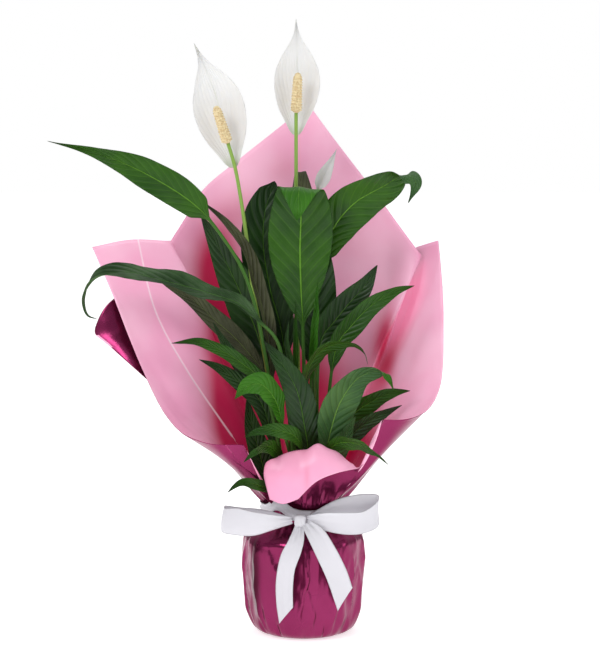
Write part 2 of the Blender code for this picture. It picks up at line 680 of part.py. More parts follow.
def build_flower(flower):
    """The stalk, the bract and the spike of one flower."""
    rings = tube_rings([*stalk_foot(flower.root), *millimetres(*flower.stalk)],
                       STALK_RADIUS, 10)
    ring_solid(f"{flower.name}_stalk", rings, STALK_FINISH)
    build_spathe(flower)
    if flower.spadix:
        build_spadix(flower)


# ---------------------------------------------------------------- ribbon

@dataclass(frozen=True)
class Strip:
    """A length of ribbon: its middle line in millimetres, its widths and its cross direction."""

    name: str
    path: tuple
    widths: tuple
    side: tuple
    side_end: tuple = None
    cut: float = 0.0             # how far the end slants along its length, in millimetres


STRIPS = (
    Strip("bow_loop_left", ((-15, -56, 127), (-40, -68, 126), (-68, -68, 125), (-83, -59, 124),
          (-80, -50, 126), (-62, -49, 128), (-38, -52, 129), (-16, -53, 129)),
          (10, 22, 27, 26, 26, 25, 20, 10), (0, 0.1, 1)),
    Strip("bow_loop_right", ((4, -57, 127), (28, -68, 127), (56, -68, 128), (74, -58, 130),
          (72, -48, 134), (54, -49, 137), (30, -52, 136), (5, -54, 129)),
          (10, 22, 26, 26, 26, 25, 20, 10), (-0.08, 0.1, 1)),
    Strip("bow_tail_left", ((-7, -60, 117), (-12, -68, 104), (-18, -71, 84), (-20, -71, 55),
          (-20, -70, 25)), (11, 20, 22, 18, 17), (1, -0.1, 0.3), (1, 0.1, 0.1), 8),
    Strip("bow_tail_right", ((2, -60, 117), (13, -68, 104), (26, -70, 84), (36, -66, 58),
          (42, -63, 40)), (11, 20, 22, 19, 17), (1, 0.1, 0.45), (0.9, 0.3, 0.5), -8),
)


def build_strip(strip):
    """A flat strip of ribbon along its path, as a closed solid."""
    path = smooth_path(millimetres(*strip.path))
    side = Vector(strip.side).normalized()
    side_end = Vector(strip.side_end or strip.side).normalized()
    stations = STRIP_STATIONS * (len(strip.path) - 1)
    last = len(strip.widths) - 1
    rings = []
    for step in range(stations + 1):
        share = step / stations
        centre, direction = along(path, share)
        across, out = cross_frame(direction, side.lerp(side_end, share))
        index = min(int(share * last), last - 1)
        mix = share * last - index
        half = (strip.widths[index] * (1 - mix) + strip.widths[index + 1] * mix) * MM / 2
        slant = direction * strip.cut * MM / 2 * smoothstep(0.7, 1, share)
        rings.append([
            centre - across * half - slant + out * RIBBON / 2,
            centre + across * half + slant + out * RIBBON / 2,
            centre + across * half + slant - out * RIBBON / 2,
            centre - across * half - slant - out * RIBBON / 2,
        ])
    return ring_solid(strip.name, rings, RIBBON_FINISH)


def build_band():
    """The ribbon round the neck, as a closed ring."""
    inner = NECK_RADIUS + PLEAT_DEPTH + GAP
    outer = inner + RIBBON
    half = COLLAR_RISE - BAND_FLARE
    low, high = NECK_HEIGHT - half, NECK_HEIGHT + half
    corners = ((inner + BAND_FLARE, low), (outer + BAND_FLARE, low), (outer, high),
               (inner, high))
    bm = bmesh.new()
    points = [bm.verts.new((radius, 0, height)) for radius, height in corners]
    edges = [bm.edges.new(pair) for pair in zip(points, [*points[1:], points[0]])]
    bmesh.ops.spin(bm, geom=points + edges, axis=(0, 0, 1), cent=(0, 0, 0),
                   angle=math.tau, steps=BAND_SEGMENTS, use_merge=True)
    bmesh.ops.remove_doubles(bm, verts=bm.verts, dist=WELD)
    bmesh.ops.recalc_face_normals(bm, faces=bm.faces)
    return add_object("ribbon_band", bm, RIBBON_FINISH)


def build_knot():
    """The knot in front of the band: a small soft block."""
    bm = bmesh.new()
    bmesh.ops.create_cube(bm, size=1)
    bmesh.ops.scale(bm, vec=KNOT_SIZE, verts=bm.verts)
    bmesh.ops.bevel(bm, geom=bm.edges[:], offset=KNOT_BEVEL, offset_type="OFFSET", segments=2,
                    profile=0.5, affect="EDGES", material=-1)
    bmesh.ops.translate(bm, vec=KNOT_PLACE, verts=bm.verts)
    return add_object("bow_knot", bm, RIBBON_FINISH)


def main():
    """Builds every piece of the object."""
    for old in list(bpy.data.objects):
        bpy.data.objects.remove(old, do_unlink=True)
    build_wrapper()
    build_pot()
    build_soil()
    for leaf in LEAVES:
        build_leaf(leaf)
    for flower in FLOWERS:
        build_flower(flower)
    build_band()
    build_knot()
    for strip in STRIPS:
        build_strip(strip)


main()
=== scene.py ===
"""The looks of a potted peace lily, gift wrapped in two-tone film and tied with a satin bow.

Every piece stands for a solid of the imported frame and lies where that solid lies. Lengths are
metres, tables of places are millimetres, +Z is up and the bow faces -Y.
"""

import logging
import math
from bisect import bisect_right
from collections.abc import Callable, Sequence
from dataclasses import dataclass, field
from enum import Enum

import bmesh
import bpy
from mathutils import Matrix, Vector, noise


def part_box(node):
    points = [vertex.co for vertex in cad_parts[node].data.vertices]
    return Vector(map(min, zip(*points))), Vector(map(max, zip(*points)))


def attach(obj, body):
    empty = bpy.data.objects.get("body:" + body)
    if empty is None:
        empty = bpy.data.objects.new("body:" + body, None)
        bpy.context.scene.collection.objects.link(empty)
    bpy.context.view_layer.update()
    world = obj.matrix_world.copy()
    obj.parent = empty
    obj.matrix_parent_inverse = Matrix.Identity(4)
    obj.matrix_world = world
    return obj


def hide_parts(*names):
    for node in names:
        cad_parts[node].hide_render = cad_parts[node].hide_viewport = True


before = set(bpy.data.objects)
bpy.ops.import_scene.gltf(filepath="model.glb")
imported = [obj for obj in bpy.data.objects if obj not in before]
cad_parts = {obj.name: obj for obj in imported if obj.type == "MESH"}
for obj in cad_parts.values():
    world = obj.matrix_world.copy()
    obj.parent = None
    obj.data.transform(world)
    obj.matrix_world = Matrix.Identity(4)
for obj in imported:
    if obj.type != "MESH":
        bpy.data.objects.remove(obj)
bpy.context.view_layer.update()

LOG = logging.getLogger("peace_lily")

MM = 0.001
WELD = 0.001 * MM                # points closer than this are one point
CROWN = 87.5 * MM                # the height at which the stalks leave the potting mix
SPROUT = 12 * MM                 # how far a stalk rises straight up at first
BODY = "root"
X_AXIS = Vector((1, 0, 0))

Place = tuple[float, float, float]
Colour = tuple[float, float, float]
Outline = tuple[tuple[float, float], ...]
Station = tuple[float, Vector, Vector, Vector]


# ---------------------------------------------------------------- curves and lattices

def smoothstep(low: float, high: float, value: float) -> float:
    """A smooth rise from 0 at low to 1 at high.

    Args:
        low: The value where the rise starts.
        high: The value where it ends.
        value: The value to read it at.

    Returns:
        The height of the rise, from 0 to 1.
    """
    share = min(1.0, max(0.0, (value - low) / (high - low)))
    return share * share * (3 - 2 * share)


def vectors(places: Sequence[Place]) -> list[Vector]:
    """Places of a table in millimetres as vectors in metres.

    Args:
        places: The places in millimetres.

    Returns:
        The same places in metres.
    """
    return [Vector(place) * MM for place in places]


def curve_point(four: Sequence[Vector], share: float) -> Vector:
    """A point between the middle two of four places, on a centripetal Catmull-Rom curve.

    Args:
        four: Four places in a row.
        share: How far from the second place to the third, from 0 to 1.

    Returns:
        The point.
    """
    knots = [0.0]
    for first, second in zip(four, four[1:]):
        knots.append(knots[-1] + max((second - first).length, WELD) ** 0.5)
    t0, t1, t2, t3 = knots
    t = t1 + (t2 - t1) * share
    a1 = four[0].lerp(four[1], (t - t0) / (t1 - t0))
    a2 = four[1].lerp(four[2], (t - t1) / (t2 - t1))
    a3 = four[2].lerp(four[3], (t - t2) / (t3 - t2))
    b1 = a1.lerp(a2, (t - t0) / (t2 - t0))
    b2 = a2.lerp(a3, (t - t1) / (t3 - t1))
    return b1.lerp(b2, (t - t1) / (t2 - t1))


class Route:
    """A smooth open curve through a few places, read by its share of length."""

    def __init__(self, places: Sequence[Vector], steps: int = 16) -> None:
        """Makes the curve.

        Args:
            places: The places that it passes, in metres.
            steps: How many short runs each stretch between two places gets.
        """
        padded = [2 * places[0] - places[1], *places, 2 * places[-1] - places[-2]]
        self.points: list[Vector] = []
        for index in range(len(places) - 1):
            four = padded[index:index + 4]
            self.points += [curve_point(four, step / steps) for step in range(steps)]
        self.points.append(places[-1].copy())
        self.lengths = [0.0]
        for first, second in zip(self.points, self.points[1:]):
            self.lengths.append(self.lengths[-1] + (second - first).length)

    @property
    def length(self) -> float:
        """The curve's whole length in metres."""
        return self.lengths[-1]

    def at(self, share: float) -> Vector:
        """The point at a share of the length.

        Args:
            share: Where to read it, from 0 to 1.

        Returns:
            The point.
        """
        target = min(1.0, max(0.0, share)) * self.length
        index = min(max(bisect_right(self.lengths, target) - 1, 0), len(self.points) - 2)
        run = self.lengths[index + 1] - self.lengths[index]
        return self.points[index].lerp(self.points[index + 1],
                                       (target - self.lengths[index]) / max(run, WELD))

    def heading(self, share: float, reach: float = 0.012) -> Vector:
        """The curve's direction at a share of the length.

        Args:
            share: Where to read it.
            reach: The share on each side that the direction is taken over.

        Returns:
            A unit vector.
        """
        return (self.at(share + reach) - self.at(share - reach)).normalized()


def across_and_out(heading: Vector, side: Vector) -> tuple[Vector, Vector]:
    """The two unit vectors square to a heading.

    Args:
        heading: The direction along a piece.
        side: Roughly the direction across it.

    Returns:
        The direction across, and the direction out of its upper face.
    """
    across = (side - side.project(heading)).normalized()
    return across, across.cross(heading)


def on_circle(radius: float, turn: float, height: float = 0.0) -> Vector:
    """A point round the upright axis.

    Args:
        radius: Its distance from the axis in metres.
        turn: Its angle in radians, 0 to the right.
        height: Its height in metres.

    Returns:
        The point.
    """
    return Vector((radius * math.cos(turn), radius * math.sin(turn), height))


def stalk_start(root: tuple[float, float]) -> list[Vector]:
    """The first two places of a stalk, which rises straight out of the potting mix.

    Args:
        root: Its place on the mix in millimetres.

    Returns:
        The stalk's foot and the end of its straight run.
    """
    foot = Vector((root[0] * MM, root[1] * MM, CROWN))
    return [foot, foot + Vector((0, 0, SPROUT))]


def around_section(column: int, half_columns: int) -> tuple[bool, float]:
    """Where a corner lies on a thin section that runs over its upper face and back.

    Args:
        column: The corner's column, 0 at the left edge of the upper face.
        half_columns: How many columns each face has.

    Returns:
        Whether it is on the upper face, and its place across, from -1 to 1.
    """
    upper = column <= half_columns
    return upper, (column if upper else 2 * half_columns - column) / half_columns * 2 - 1


def across_section(across: float) -> float:
    """The U of a corner on a thin section, the same on both faces."""
    return 2 * across if across <= 0.5 else 2 - 2 * across


def plain_chart(across: float, along: float) -> tuple[float, float]:
    """The UV of a corner where the map is the grid itself."""
    return across, along


def lattice(columns: int, rows: int, place: Callable[[int, int], Vector], closed: bool,
            chart: Callable[[float, float], tuple[float, float]]) -> bmesh.types.BMesh:
    """A grid whose corners are moved to their places, with its UV map.

    Args:
        columns: How many quads it has across.
        rows: How many quads it has along.
        place: Gives the place of the corner at a column and row.
        closed: Whether the last column of corners meets the first.
        chart: Gives the UV of a corner from its shares across and along the grid.

    Returns:
        The grid, its seam and any poles welded.
    """
    bm = bmesh.new()
    bmesh.ops.create_grid(bm, x_segments=columns, y_segments=rows, size=0.5)
    layer = bm.loops.layers.uv.new("UVMap")
    for face in bm.faces:
        for loop in face.loops:
            loop[layer].uv = chart(loop.vert.co.x + 0.5, loop.vert.co.y + 0.5)
    for vertex in bm.verts:
        column = round((vertex.co.x + 0.5) * columns)
        row = round((vertex.co.y + 0.5) * rows)
        vertex.co = place(column % columns if closed else column, row)
    bmesh.ops.remove_doubles(bm, verts=bm.verts, dist=WELD)
    return bm


def close_ends(bm: bmesh.types.BMesh) -> None:
    """Fills the open ends of a tube-like lattice and turns its faces outwards.

    Args:
        bm: The lattice.
    """
    rims = [edge for edge in bm.edges if edge.is_boundary]
    if rims:
        bmesh.ops.holes_fill(bm, edges=rims, sides=0)
    bmesh.ops.recalc_face_normals(bm, faces=bm.faces)


def add_piece(name: str, bm: bmesh.types.BMesh, finishes: Sequence[bpy.types.Material],
              replaced: Sequence[str]) -> bpy.types.Object:
    """Makes a piece from a bmesh and hides the frame's nodes that it stands for.

    Args:
        name: The piece's name.
        bm: Its mesh, which is freed.
        finishes: The materials of its slots, in order.
        replaced: The frame's nodes that it stands for.

    Returns:
        The new object.
    """
    mesh = bpy.data.meshes.new(name)
    bm.to_mesh(mesh)
    bm.free()
    for finish in finishes:
        mesh.materials.append(finish)
    mesh.shade_smooth()
    piece = bpy.data.objects.new(name, mesh)
    bpy.context.scene.collection.objects.link(piece)
    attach(piece, BODY)
    if replaced:
        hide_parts(*replaced)
    return piece


def subdivide(piece: bpy.types.Object, levels: int = 1) -> None:
    """Adds a subdivision surface of the same level in the viewport and the render.

    Args:
        piece: The piece to smooth.
        levels: How many times it is subdivided.
    """
    smooth = piece.modifiers.new("smooth", "SUBSURF")
    smooth.levels = levels
    smooth.render_levels = levels


# ---------------------------------------------------------------- shader building blocks

class Wiring:
    """A small helper that adds nodes to a node tree and joins them."""

    def __init__(self, tree: bpy.types.NodeTree) -> None:
        """Keeps the node tree.

        Args:
            tree: The tree that the nodes go in.
        """
        self.tree = tree

    def node(self, kind: str, **settings: object) -> bpy.types.Node:
        """Adds a node.

        Args:
            kind: The node's type without its ShaderNode prefix.
            **settings: Properties to set on it.

        Returns:
            The new node.
        """
        made = self.tree.nodes.new(f"ShaderNode{kind}")
        for key, value in settings.items():
            setattr(made, key, value)
        return made

    def join(self, source: object, target: bpy.types.NodeSocket) -> None:
        """Joins a socket to an input, or sets a plain value on it.

        Args:
            source: The socket or the value.
            target: The input.
        """
        if isinstance(source, bpy.types.NodeSocket):
            self.tree.links.new(source, target)
        else:
            target.default_value = source

    def maths(self, operation: str, *values: object) -> bpy.types.NodeSocket:
        """Adds a Math node.

        Args:
            operation: Its operation.
            *values: Sockets or numbers for its inputs.

        Returns:
            Its output.
        """
        made = self.node("Math", operation=operation)
        for value, target in zip(values, made.inputs):
            self.join(value, target)
        return made.outputs[0]

    def ramp(self, value: object, low: object, high: object, start: float = 0.0,
             end: float = 1.0) -> bpy.types.NodeSocket:
        """Adds a smooth Map Range.

        Args:
            value: The socket or number that it reads.
            low: The value or socket where the ramp starts.
            high: The value or socket where it ends.
            start: What it gives at low.
            end: What it gives at high.

        Returns:
            Its output.
        """
        made = self.node("MapRange", interpolation_type="SMOOTHSTEP")
        for source, target in zip((value, low, high, start, end), made.inputs):
            self.join(source, target)
        return made.outputs[0]

    def mix(self, factor: object, first: object, second: object) -> bpy.types.NodeSocket:
        """Adds a colour Mix node.

        Args:
            factor: 0 for the first colour, 1 for the second.
            first: A colour or a socket.
            second: A colour or a socket.

        Returns:
            Its colour output.
        """
        made = self.node("Mix", data_type="RGBA")
        for source, target in ((factor, made.inputs[0]), (first, made.inputs[6]),
                               (second, made.inputs[7])):
            is_colour = isinstance(source, tuple) and len(source) == 3
            self.join((*source, 1.0) if is_colour else source, target)
        return made.outputs[2]

    def group(self, tree: bpy.types.NodeTree, **values: object) -> bpy.types.Node:
        """Adds a shared node group with its own values.

        Args:
            tree: The group's tree.
            **values: Sockets or values for its inputs, by name with _ for a space.

        Returns:
            The group node.
        """
        made = self.node("Group", node_tree=tree)
        for key, value in values.items():
            self.join(value, made.inputs[key.replace("_", " ")])
        return made


def new_group(name: str, inputs: dict[str, str],
              outputs: Sequence[str]) -> tuple[Wiring, dict, dict]:
    """Starts a shared node group.

    Args:
        name: The group's name.
        inputs: Its inputs' names with their socket kinds, Float or Vector.
        outputs: The names of its outputs, which are all plain values.

    Returns:
        The wiring, its input sockets by name and its output sockets by name.
    """
    tree = bpy.data.node_groups.new(name, "ShaderNodeTree")
    for key, kind in inputs.items():
        tree.interface.new_socket(key, in_out="INPUT", socket_type=f"NodeSocket{kind}")
    for key in outputs:
        tree.interface.new_socket(key, in_out="OUTPUT", socket_type="NodeSocketFloat")
    wiring = Wiring(tree)
    entry = tree.nodes.new("NodeGroupInput")
    leave = tree.nodes.new("NodeGroupOutput")
    return wiring, dict(entry.outputs.items()), dict(leave.inputs.items())


def mottle_group() -> bpy.types.NodeTree:
    """The shared soft mottling: a noise turned into a mask between two limits.

    Returns:
        The node group, made once.
    """
    name = "mottle"
    if name in bpy.data.node_groups:
        return bpy.data.node_groups[name]
    kinds = {"Vector": "Vector", "Scale": "Float", "Low": "Float", "High": "Float"}
    wiring, given, made = new_group(name, kinds, ["Mask"])
    grain = wiring.node("TexNoise")
    grain.inputs["Detail"].default_value = 4.0
    wiring.join(given["Vector"], grain.inputs["Vector"])
    wiring.join(given["Scale"], grain.inputs["Scale"])
    wiring.join(wiring.ramp(grain.outputs["Fac"], given["Low"], given["High"]), made["Mask"])
    return wiring.tree


def vein_group() -> bpy.types.NodeTree:
    """The shared veins of blades and bracts, read from the piece's own UV map.

    U runs across from margin to margin and V along from the stalk to the tip.

    Returns:
        The node group, made once.
    """
    name = "veins"
    if name in bpy.data.node_groups:
        return bpy.data.node_groups[name]
    kinds = {"UV": "Vector", "Count": "Float", "Sweep": "Float"}
    wiring, given, made = new_group(name, kinds, ["Midrib", "Lateral", "Height", "Side"])
    parts = wiring.node("SeparateXYZ")
    wiring.join(given["UV"], parts.inputs[0])
    centred = wiring.maths("SUBTRACT", parts.outputs[0], 0.5)
    side = wiring.maths("MULTIPLY", wiring.maths("ABSOLUTE", centred), 2.0)
    swept = wiring.maths("MULTIPLY", wiring.maths("POWER", side, 0.8), given["Sweep"])
    phase = wiring.maths("MULTIPLY", wiring.maths("SUBTRACT", parts.outputs[1], swept),
                         given["Count"])
    swing = wiring.maths("MULTIPLY", wiring.maths("PINGPONG", phase, 0.5), 2.0)
    fine = wiring.maths("PINGPONG", wiring.maths("MULTIPLY", phase, 4.0), 0.5)
    taper = wiring.ramp(parts.outputs[1], 0.0, 1.0, 0.04, 0.010)
    midrib = wiring.maths("SUBTRACT", 1.0, wiring.maths("DIVIDE", side, taper))
    midrib = wiring.ramp(midrib, 0.0, 0.6)
    lateral = wiring.ramp(swing, 0.0, 0.22, 1.0, 0.0)
    height = wiring.maths("MULTIPLY_ADD", wiring.ramp(swing, 0.0, 0.8), 0.8,
                          wiring.maths("MULTIPLY", fine, 0.12))
    height = wiring.maths("SUBTRACT", height, midrib)
    wiring.join(midrib, made["Midrib"])
    wiring.join(lateral, made["Lateral"])
    wiring.join(height, made["Height"])
    wiring.join(side, made["Side"])
    return wiring.tree


def crinkle_group() -> bpy.types.NodeTree:
    """The shared creasing of thin film: facets at two scales, as a height.

    Returns:
        The node group, made once.
    """
    name = "crinkle"
    if name in bpy.data.node_groups:
        return bpy.data.node_groups[name]
    kinds = {"Vector": "Vector", "Scale": "Float", "Fine": "Float"}
    wiring, given, made = new_group(name, kinds, ["Height"])
    warp = wiring.node("TexNoise")
    warp.inputs["Scale"].default_value = 18.0
    wiring.join(given["Vector"], warp.inputs["Vector"])
    shift = wiring.node("VectorMath", operation="MULTIPLY_ADD")
    wiring.join(warp.outputs["Color"], shift.inputs[0])
    shift.inputs[1].default_value = (0.02, 0.02, 0.02)
    wiring.join(given["Vector"], shift.inputs[2])
    facets = wiring.node("TexVoronoi", feature="F1")
    wiring.join(shift.outputs[0], facets.inputs["Vector"])
    wiring.join(given["Scale"], facets.inputs["Scale"])
    grain = wiring.node("TexNoise")
    grain.inputs["Detail"].default_value = 3.0
    wiring.join(given["Vector"], grain.inputs["Vector"])
    wiring.join(wiring.maths("MULTIPLY", given["Scale"], 3.0), grain.inputs["Scale"])
    height = wiring.maths("MULTIPLY_ADD", grain.outputs["Fac"], given["Fine"],
                          facets.outputs["Distance"])
    wiring.join(height, made["Height"])
    return wiring.tree


@dataclass(frozen=True)
class Finish:
    """A material: a Principled shader with the values that hold all over its surface."""

    name: str
    colour: Colour
    roughness: float
    metallic: float = 0.0
    coat: float = 0.0
    coat_roughness: float = 0.1
    sheen: float = 0.0
    subsurface: float = 0.0
    specular: float = 0.5
    anisotropic: float = 0.0
    glow: float = 0.0

    def start(self) -> tuple[bpy.types.Material, Wiring, bpy.types.Node]:
        """Makes the material with its uniform values set on the shader's own sockets.

        Returns:
            The material, its wiring and its Principled shader.
        """
        made = bpy.data.materials.new(self.name)
        made.use_nodes = True
        shader = made.node_tree.nodes["Principled BSDF"]
        values = {"Base Color": (*self.colour, 1.0), "Roughness": self.roughness,
                  "Metallic": self.metallic, "Coat Weight": self.coat,
                  "Coat Roughness": self.coat_roughness, "Sheen Weight": self.sheen,
                  "Subsurface Weight": self.subsurface, "Specular IOR Level": self.specular,
                  "Anisotropic": self.anisotropic, "Emission Strength": self.glow}
        for key, value in values.items():
            shader.inputs[key].default_value = value
        if self.subsurface:
            shader.inputs["Subsurface Radius"].default_value = (0.004, 0.003, 0.002)
            shader.inputs["Subsurface Scale"].default_value = 1.0
        return made, Wiring(made.node_tree), shader

    def material(self) -> bpy.types.Material:
        """The finished material, made once.

        Returns:
            The material.
        """
        found = bpy.data.materials.get(self.name)
        if found:
            return found
        made, wiring, shader = self.start()
        self.dress(wiring, shader)
        return made

    def dress(self, wiring: Wiring, shader: bpy.types.Node) -> None:
        """Adds what changes over the surface. A plain finish has a faint mottling.

        Args:
            wiring: The material's wiring.
            shader: Its Principled shader.
        """
        spot = wiring.node("TexCoord").outputs["Object"]
        mask = wiring.group(mottle_group(), Vector=spot, Scale=60.0, Low=0.35, High=0.7)
        rough = wiring.ramp(mask.outputs["Mask"], 0.0, 1.0, self.roughness,
                            self.roughness + 0.08)
        wiring.join(rough, shader.inputs["Roughness"])

    def bump(self, wiring: Wiring, shader: bpy.types.Node, height: bpy.types.NodeSocket,
             distance: float, strength: float = 1.0) -> None:
        """Feeds a height to the shader's normal.

        Args:
            wiring: The material's wiring.
            shader: Its Principled shader.
            height: The height's socket.
            distance: How far a height of 1 stands out, in metres.
            strength: The bump's strength.
        """
        bump = wiring.node("Bump")
        bump.inputs["Distance"].default_value = distance
        bump.inputs["Strength"].default_value = strength
        wiring.join(height, bump.inputs["Height"])
        wiring.join(bump.outputs[0], shader.inputs["Normal"])


@dataclass(frozen=True)
class BladeFinish(Finish):
    """A leaf's face: mottled green with a pale midrib, swept veins and its stalk's colour."""

    light: Colour = (0.05, 0.2, 0.02)
    rib: Colour = (0.2, 0.42, 0.06)
    stalk: Colour = (0.045, 0.14, 0.015)
    vein_share: float = 0.16
    count: float = 13.0
    relief: float = 0.7 * MM

    def dress(self, wiring: Wiring, shader: bpy.types.Node) -> None:
        """Adds the mottling, the veins, the stalk's colour and the relief.

        Args:
            wiring: The material's wiring.
            shader: Its Principled shader.
        """
        chart = wiring.node("UVMap", uv_map="UVMap").outputs[0]
        spot = wiring.node("TexCoord").outputs["Object"]
        mask = wiring.group(mottle_group(), Vector=spot, Scale=28.0, Low=0.35, High=0.72)
        veins = wiring.group(vein_group(), UV=chart, Count=self.count, Sweep=0.2)
        blade = wiring.mix(mask.outputs["Mask"], self.colour, self.light)
        faint = wiring.maths("MULTIPLY", veins.outputs["Lateral"], self.vein_share)
        blade = wiring.mix(faint, blade, self.rib)
        blade = wiring.mix(veins.outputs["Midrib"], blade, self.rib)
        parts = wiring.node("SeparateXYZ")
        wiring.join(chart, parts.inputs[0])
        on_blade = wiring.ramp(parts.outputs[1], -0.02, 0.06)
        wiring.join(wiring.mix(on_blade, self.stalk, blade), shader.inputs["Base Color"])
        rough = wiring.ramp(mask.outputs["Mask"], 0.0, 1.0, self.roughness,
                            self.roughness + 0.12)
        wiring.join(rough, shader.inputs["Roughness"])
        height = wiring.maths("MULTIPLY", veins.outputs["Height"], on_blade)
        self.bump(wiring, shader, height, self.relief)


@dataclass(frozen=True)
class FilmFinish(Finish):
    """One face of the wrapping film, softly clouded and finely crinkled.

    deep is the painted crimson shade of its hollows and pale the painted highlight along its
    long crease. Its lighter clouding is partly painted soft reflection.
    """

    cloud_and_reflection: Colour = (0.8, 0.3, 0.5)
    deep: Colour = (0.52, 0.012, 0.075)
    pale: Colour = (0.95, 0.70, 0.78)
    scale: float = 45.0
    relief: float = 0.6 * MM
    fine: float = 0.3

    def dress(self, wiring: Wiring, shader: bpy.types.Node) -> None:
        """Adds the clouding, partly painted reflection, the painted crimson shade of the
        hollows, the painted highlight of the long crease, the crinkles and a faint painted glow.

        Args:
            wiring: The material's wiring.
            shader: Its Principled shader.
        """
        spot = wiring.node("TexCoord").outputs["Object"]
        # painted reflection, in part: the lighter clouding stands in for soft reflections
        mask = wiring.group(mottle_group(), Vector=spot, Scale=9.0, Low=0.3, High=0.75)
        shade = wiring.mix(mask.outputs["Mask"], self.colour, self.cloud_and_reflection)
        # painted shade: the hollows listed in the shade spots turn crimson and darker
        painted_shade = wiring.node("Attribute", attribute_name="painted_shade").outputs["Fac"]
        shade = wiring.mix(wiring.ramp(painted_shade, 0.0, 0.9), shade, self.deep)
        # painted highlight: a pale line along the long crease, which the bump also dents
        crease = wiring.node("Attribute", attribute_name="crease").outputs["Fac"]
        gap = wiring.maths("ABSOLUTE", crease)
        line = wiring.ramp(gap, 0.0002, 0.0013, 0.7, 0.0)
        shade = wiring.mix(line, shade, self.pale)
        wiring.join(shade, shader.inputs["Base Color"])
        # painted light: the film glows faintly in its own colour, lifting its shadows
        wiring.join(shade, shader.inputs["Emission Color"])
        rough = wiring.ramp(mask.outputs["Mask"], 0.0, 1.0, self.roughness - 0.04,
                            self.roughness + 0.06)
        wiring.join(rough, shader.inputs["Roughness"])
        creases = wiring.group(crinkle_group(), Vector=spot, Scale=self.scale, Fine=self.fine)
        height = wiring.maths("SUBTRACT", creases.outputs["Height"], line)
        self.bump(wiring, shader, height, self.relief)


@dataclass(frozen=True)
class SatinFinish(Finish):
    """White satin: a fine weave along the ribbon and a firmer line at each selvedge."""

    def dress(self, wiring: Wiring, shader: bpy.types.Node) -> None:
        """Adds the weave and the selvedges, read from the ribbon's UV map.

        Args:
            wiring: The material's wiring.
            shader: Its Principled shader.
        """
        chart = wiring.node("UVMap", uv_map="UVMap").outputs[0]
        parts = wiring.node("SeparateXYZ")
        wiring.join(chart, parts.inputs[0])
        warp = wiring.maths("SINE", wiring.maths("MULTIPLY", parts.outputs[0], 260.0))
        weft = wiring.maths("SINE", wiring.maths("MULTIPLY", parts.outputs[1], 900.0))
        centred = wiring.maths("ABSOLUTE", wiring.maths("SUBTRACT", parts.outputs[0], 0.5))
        edge = wiring.ramp(centred, 0.455, 0.475)
        weave = wiring.maths("MULTIPLY_ADD", warp, 0.5, wiring.maths("MULTIPLY", weft, 0.25))
        height = wiring.maths("MULTIPLY_ADD", edge, 3.0, weave)
        self.bump(wiring, shader, height, 0.04 * MM)
        shade = wiring.mix(edge, self.colour, tuple(0.93 * part for part in self.colour))
        wiring.join(shade, shader.inputs["Base Color"])


@dataclass(frozen=True)
class BractFinish(Finish):
    """A white bract with faint lengthways veins and a green flush at its foot and tip."""

    flush: Colour = (0.45, 0.62, 0.25)

    def dress(self, wiring: Wiring, shader: bpy.types.Node) -> None:
        """Adds the veins and the flush.

        Args:
            wiring: The material's wiring.
            shader: Its Principled shader.
        """
        chart = wiring.node("UVMap", uv_map="UVMap").outputs[0]
        veins = wiring.group(vein_group(), UV=chart, Count=5.0, Sweep=1.4)
        parts = wiring.node("SeparateXYZ")
        wiring.join(chart, parts.inputs[0])
        foot = wiring.ramp(parts.outputs[1], 0.0, 0.12, 0.35, 0.0)
        tip = wiring.ramp(parts.outputs[1], 0.86, 1.0, 0.0, 0.12)
        flush = wiring.maths("ADD", foot, tip)
        rib = wiring.maths("MULTIPLY", veins.outputs["Midrib"], 0.12)
        shade = wiring.mix(wiring.maths("ADD", flush, rib), self.colour, self.flush)
        wiring.join(shade, shader.inputs["Base Color"])
        self.bump(wiring, shader, veins.outputs["Height"], 0.25 * MM)


@dataclass(frozen=True)
class SpeckledFinish(Finish):
    """A rough natural surface: two colours in fine speckles with a grainy relief."""

    speck: Colour = (0.1, 0.07, 0.04)
    scale: float = 220.0
    relief: float = 0.6 * MM

    def dress(self, wiring: Wiring, shader: bpy.types.Node) -> None:
        """Adds the speckles and the grain.

        Args:
            wiring: The material's wiring.
            shader: Its Principled shader.
        """
        spot = wiring.node("TexCoord").outputs["Object"]
        mask = wiring.group(mottle_group(), Vector=spot, Scale=self.scale, Low=0.42, High=0.62)
        wiring.join(wiring.mix(mask.outputs["Mask"], self.colour, self.speck),
                    shader.inputs["Base Color"])
        self.bump(wiring, shader, mask.outputs["Mask"], self.relief)


class Tone(Enum):
    """The greens that a leaf's face can have."""

    DEEP = "deep"
    MID = "mid"
    FRESH = "fresh"
    DUSKY = "dusky"
    PALE = "pale"
    GREY = "grey"


BLADES = {
    Tone.DEEP: BladeFinish("leaf_deep", (0.007, 0.030, 0.004), 0.34, specular=0.3,
                           light=(0.014, 0.056, 0.005), rib=(0.06, 0.17, 0.012)),
    Tone.MID: BladeFinish("leaf_mid", (0.013, 0.062, 0.002), 0.38, specular=0.25,
                          light=(0.028, 0.105, 0.003), rib=(0.11, 0.28, 0.02)),
    Tone.FRESH: BladeFinish("leaf_fresh", (0.022, 0.115, 0.002), 0.4, specular=0.25,
                            light=(0.038, 0.17, 0.003), rib=(0.13, 0.34, 0.03)),
    Tone.DUSKY: BladeFinish("leaf_dusky", (0.040, 0.042, 0.018), 0.5, specular=0.3,
                            light=(0.095, 0.105, 0.050), rib=(0.15, 0.2, 0.05),
                            vein_share=0.15),
    Tone.PALE: BladeFinish("leaf_pale", (0.025, 0.09, 0.018), 0.48, specular=0.35,
                           light=(0.06, 0.15, 0.035), rib=(0.15, 0.33, 0.05)),
    Tone.GREY: BladeFinish("leaf_grey", (0.008, 0.036, 0.004), 0.42, specular=0.3,
                           light=(0.055, 0.115, 0.04), rib=(0.06, 0.18, 0.02)),
}
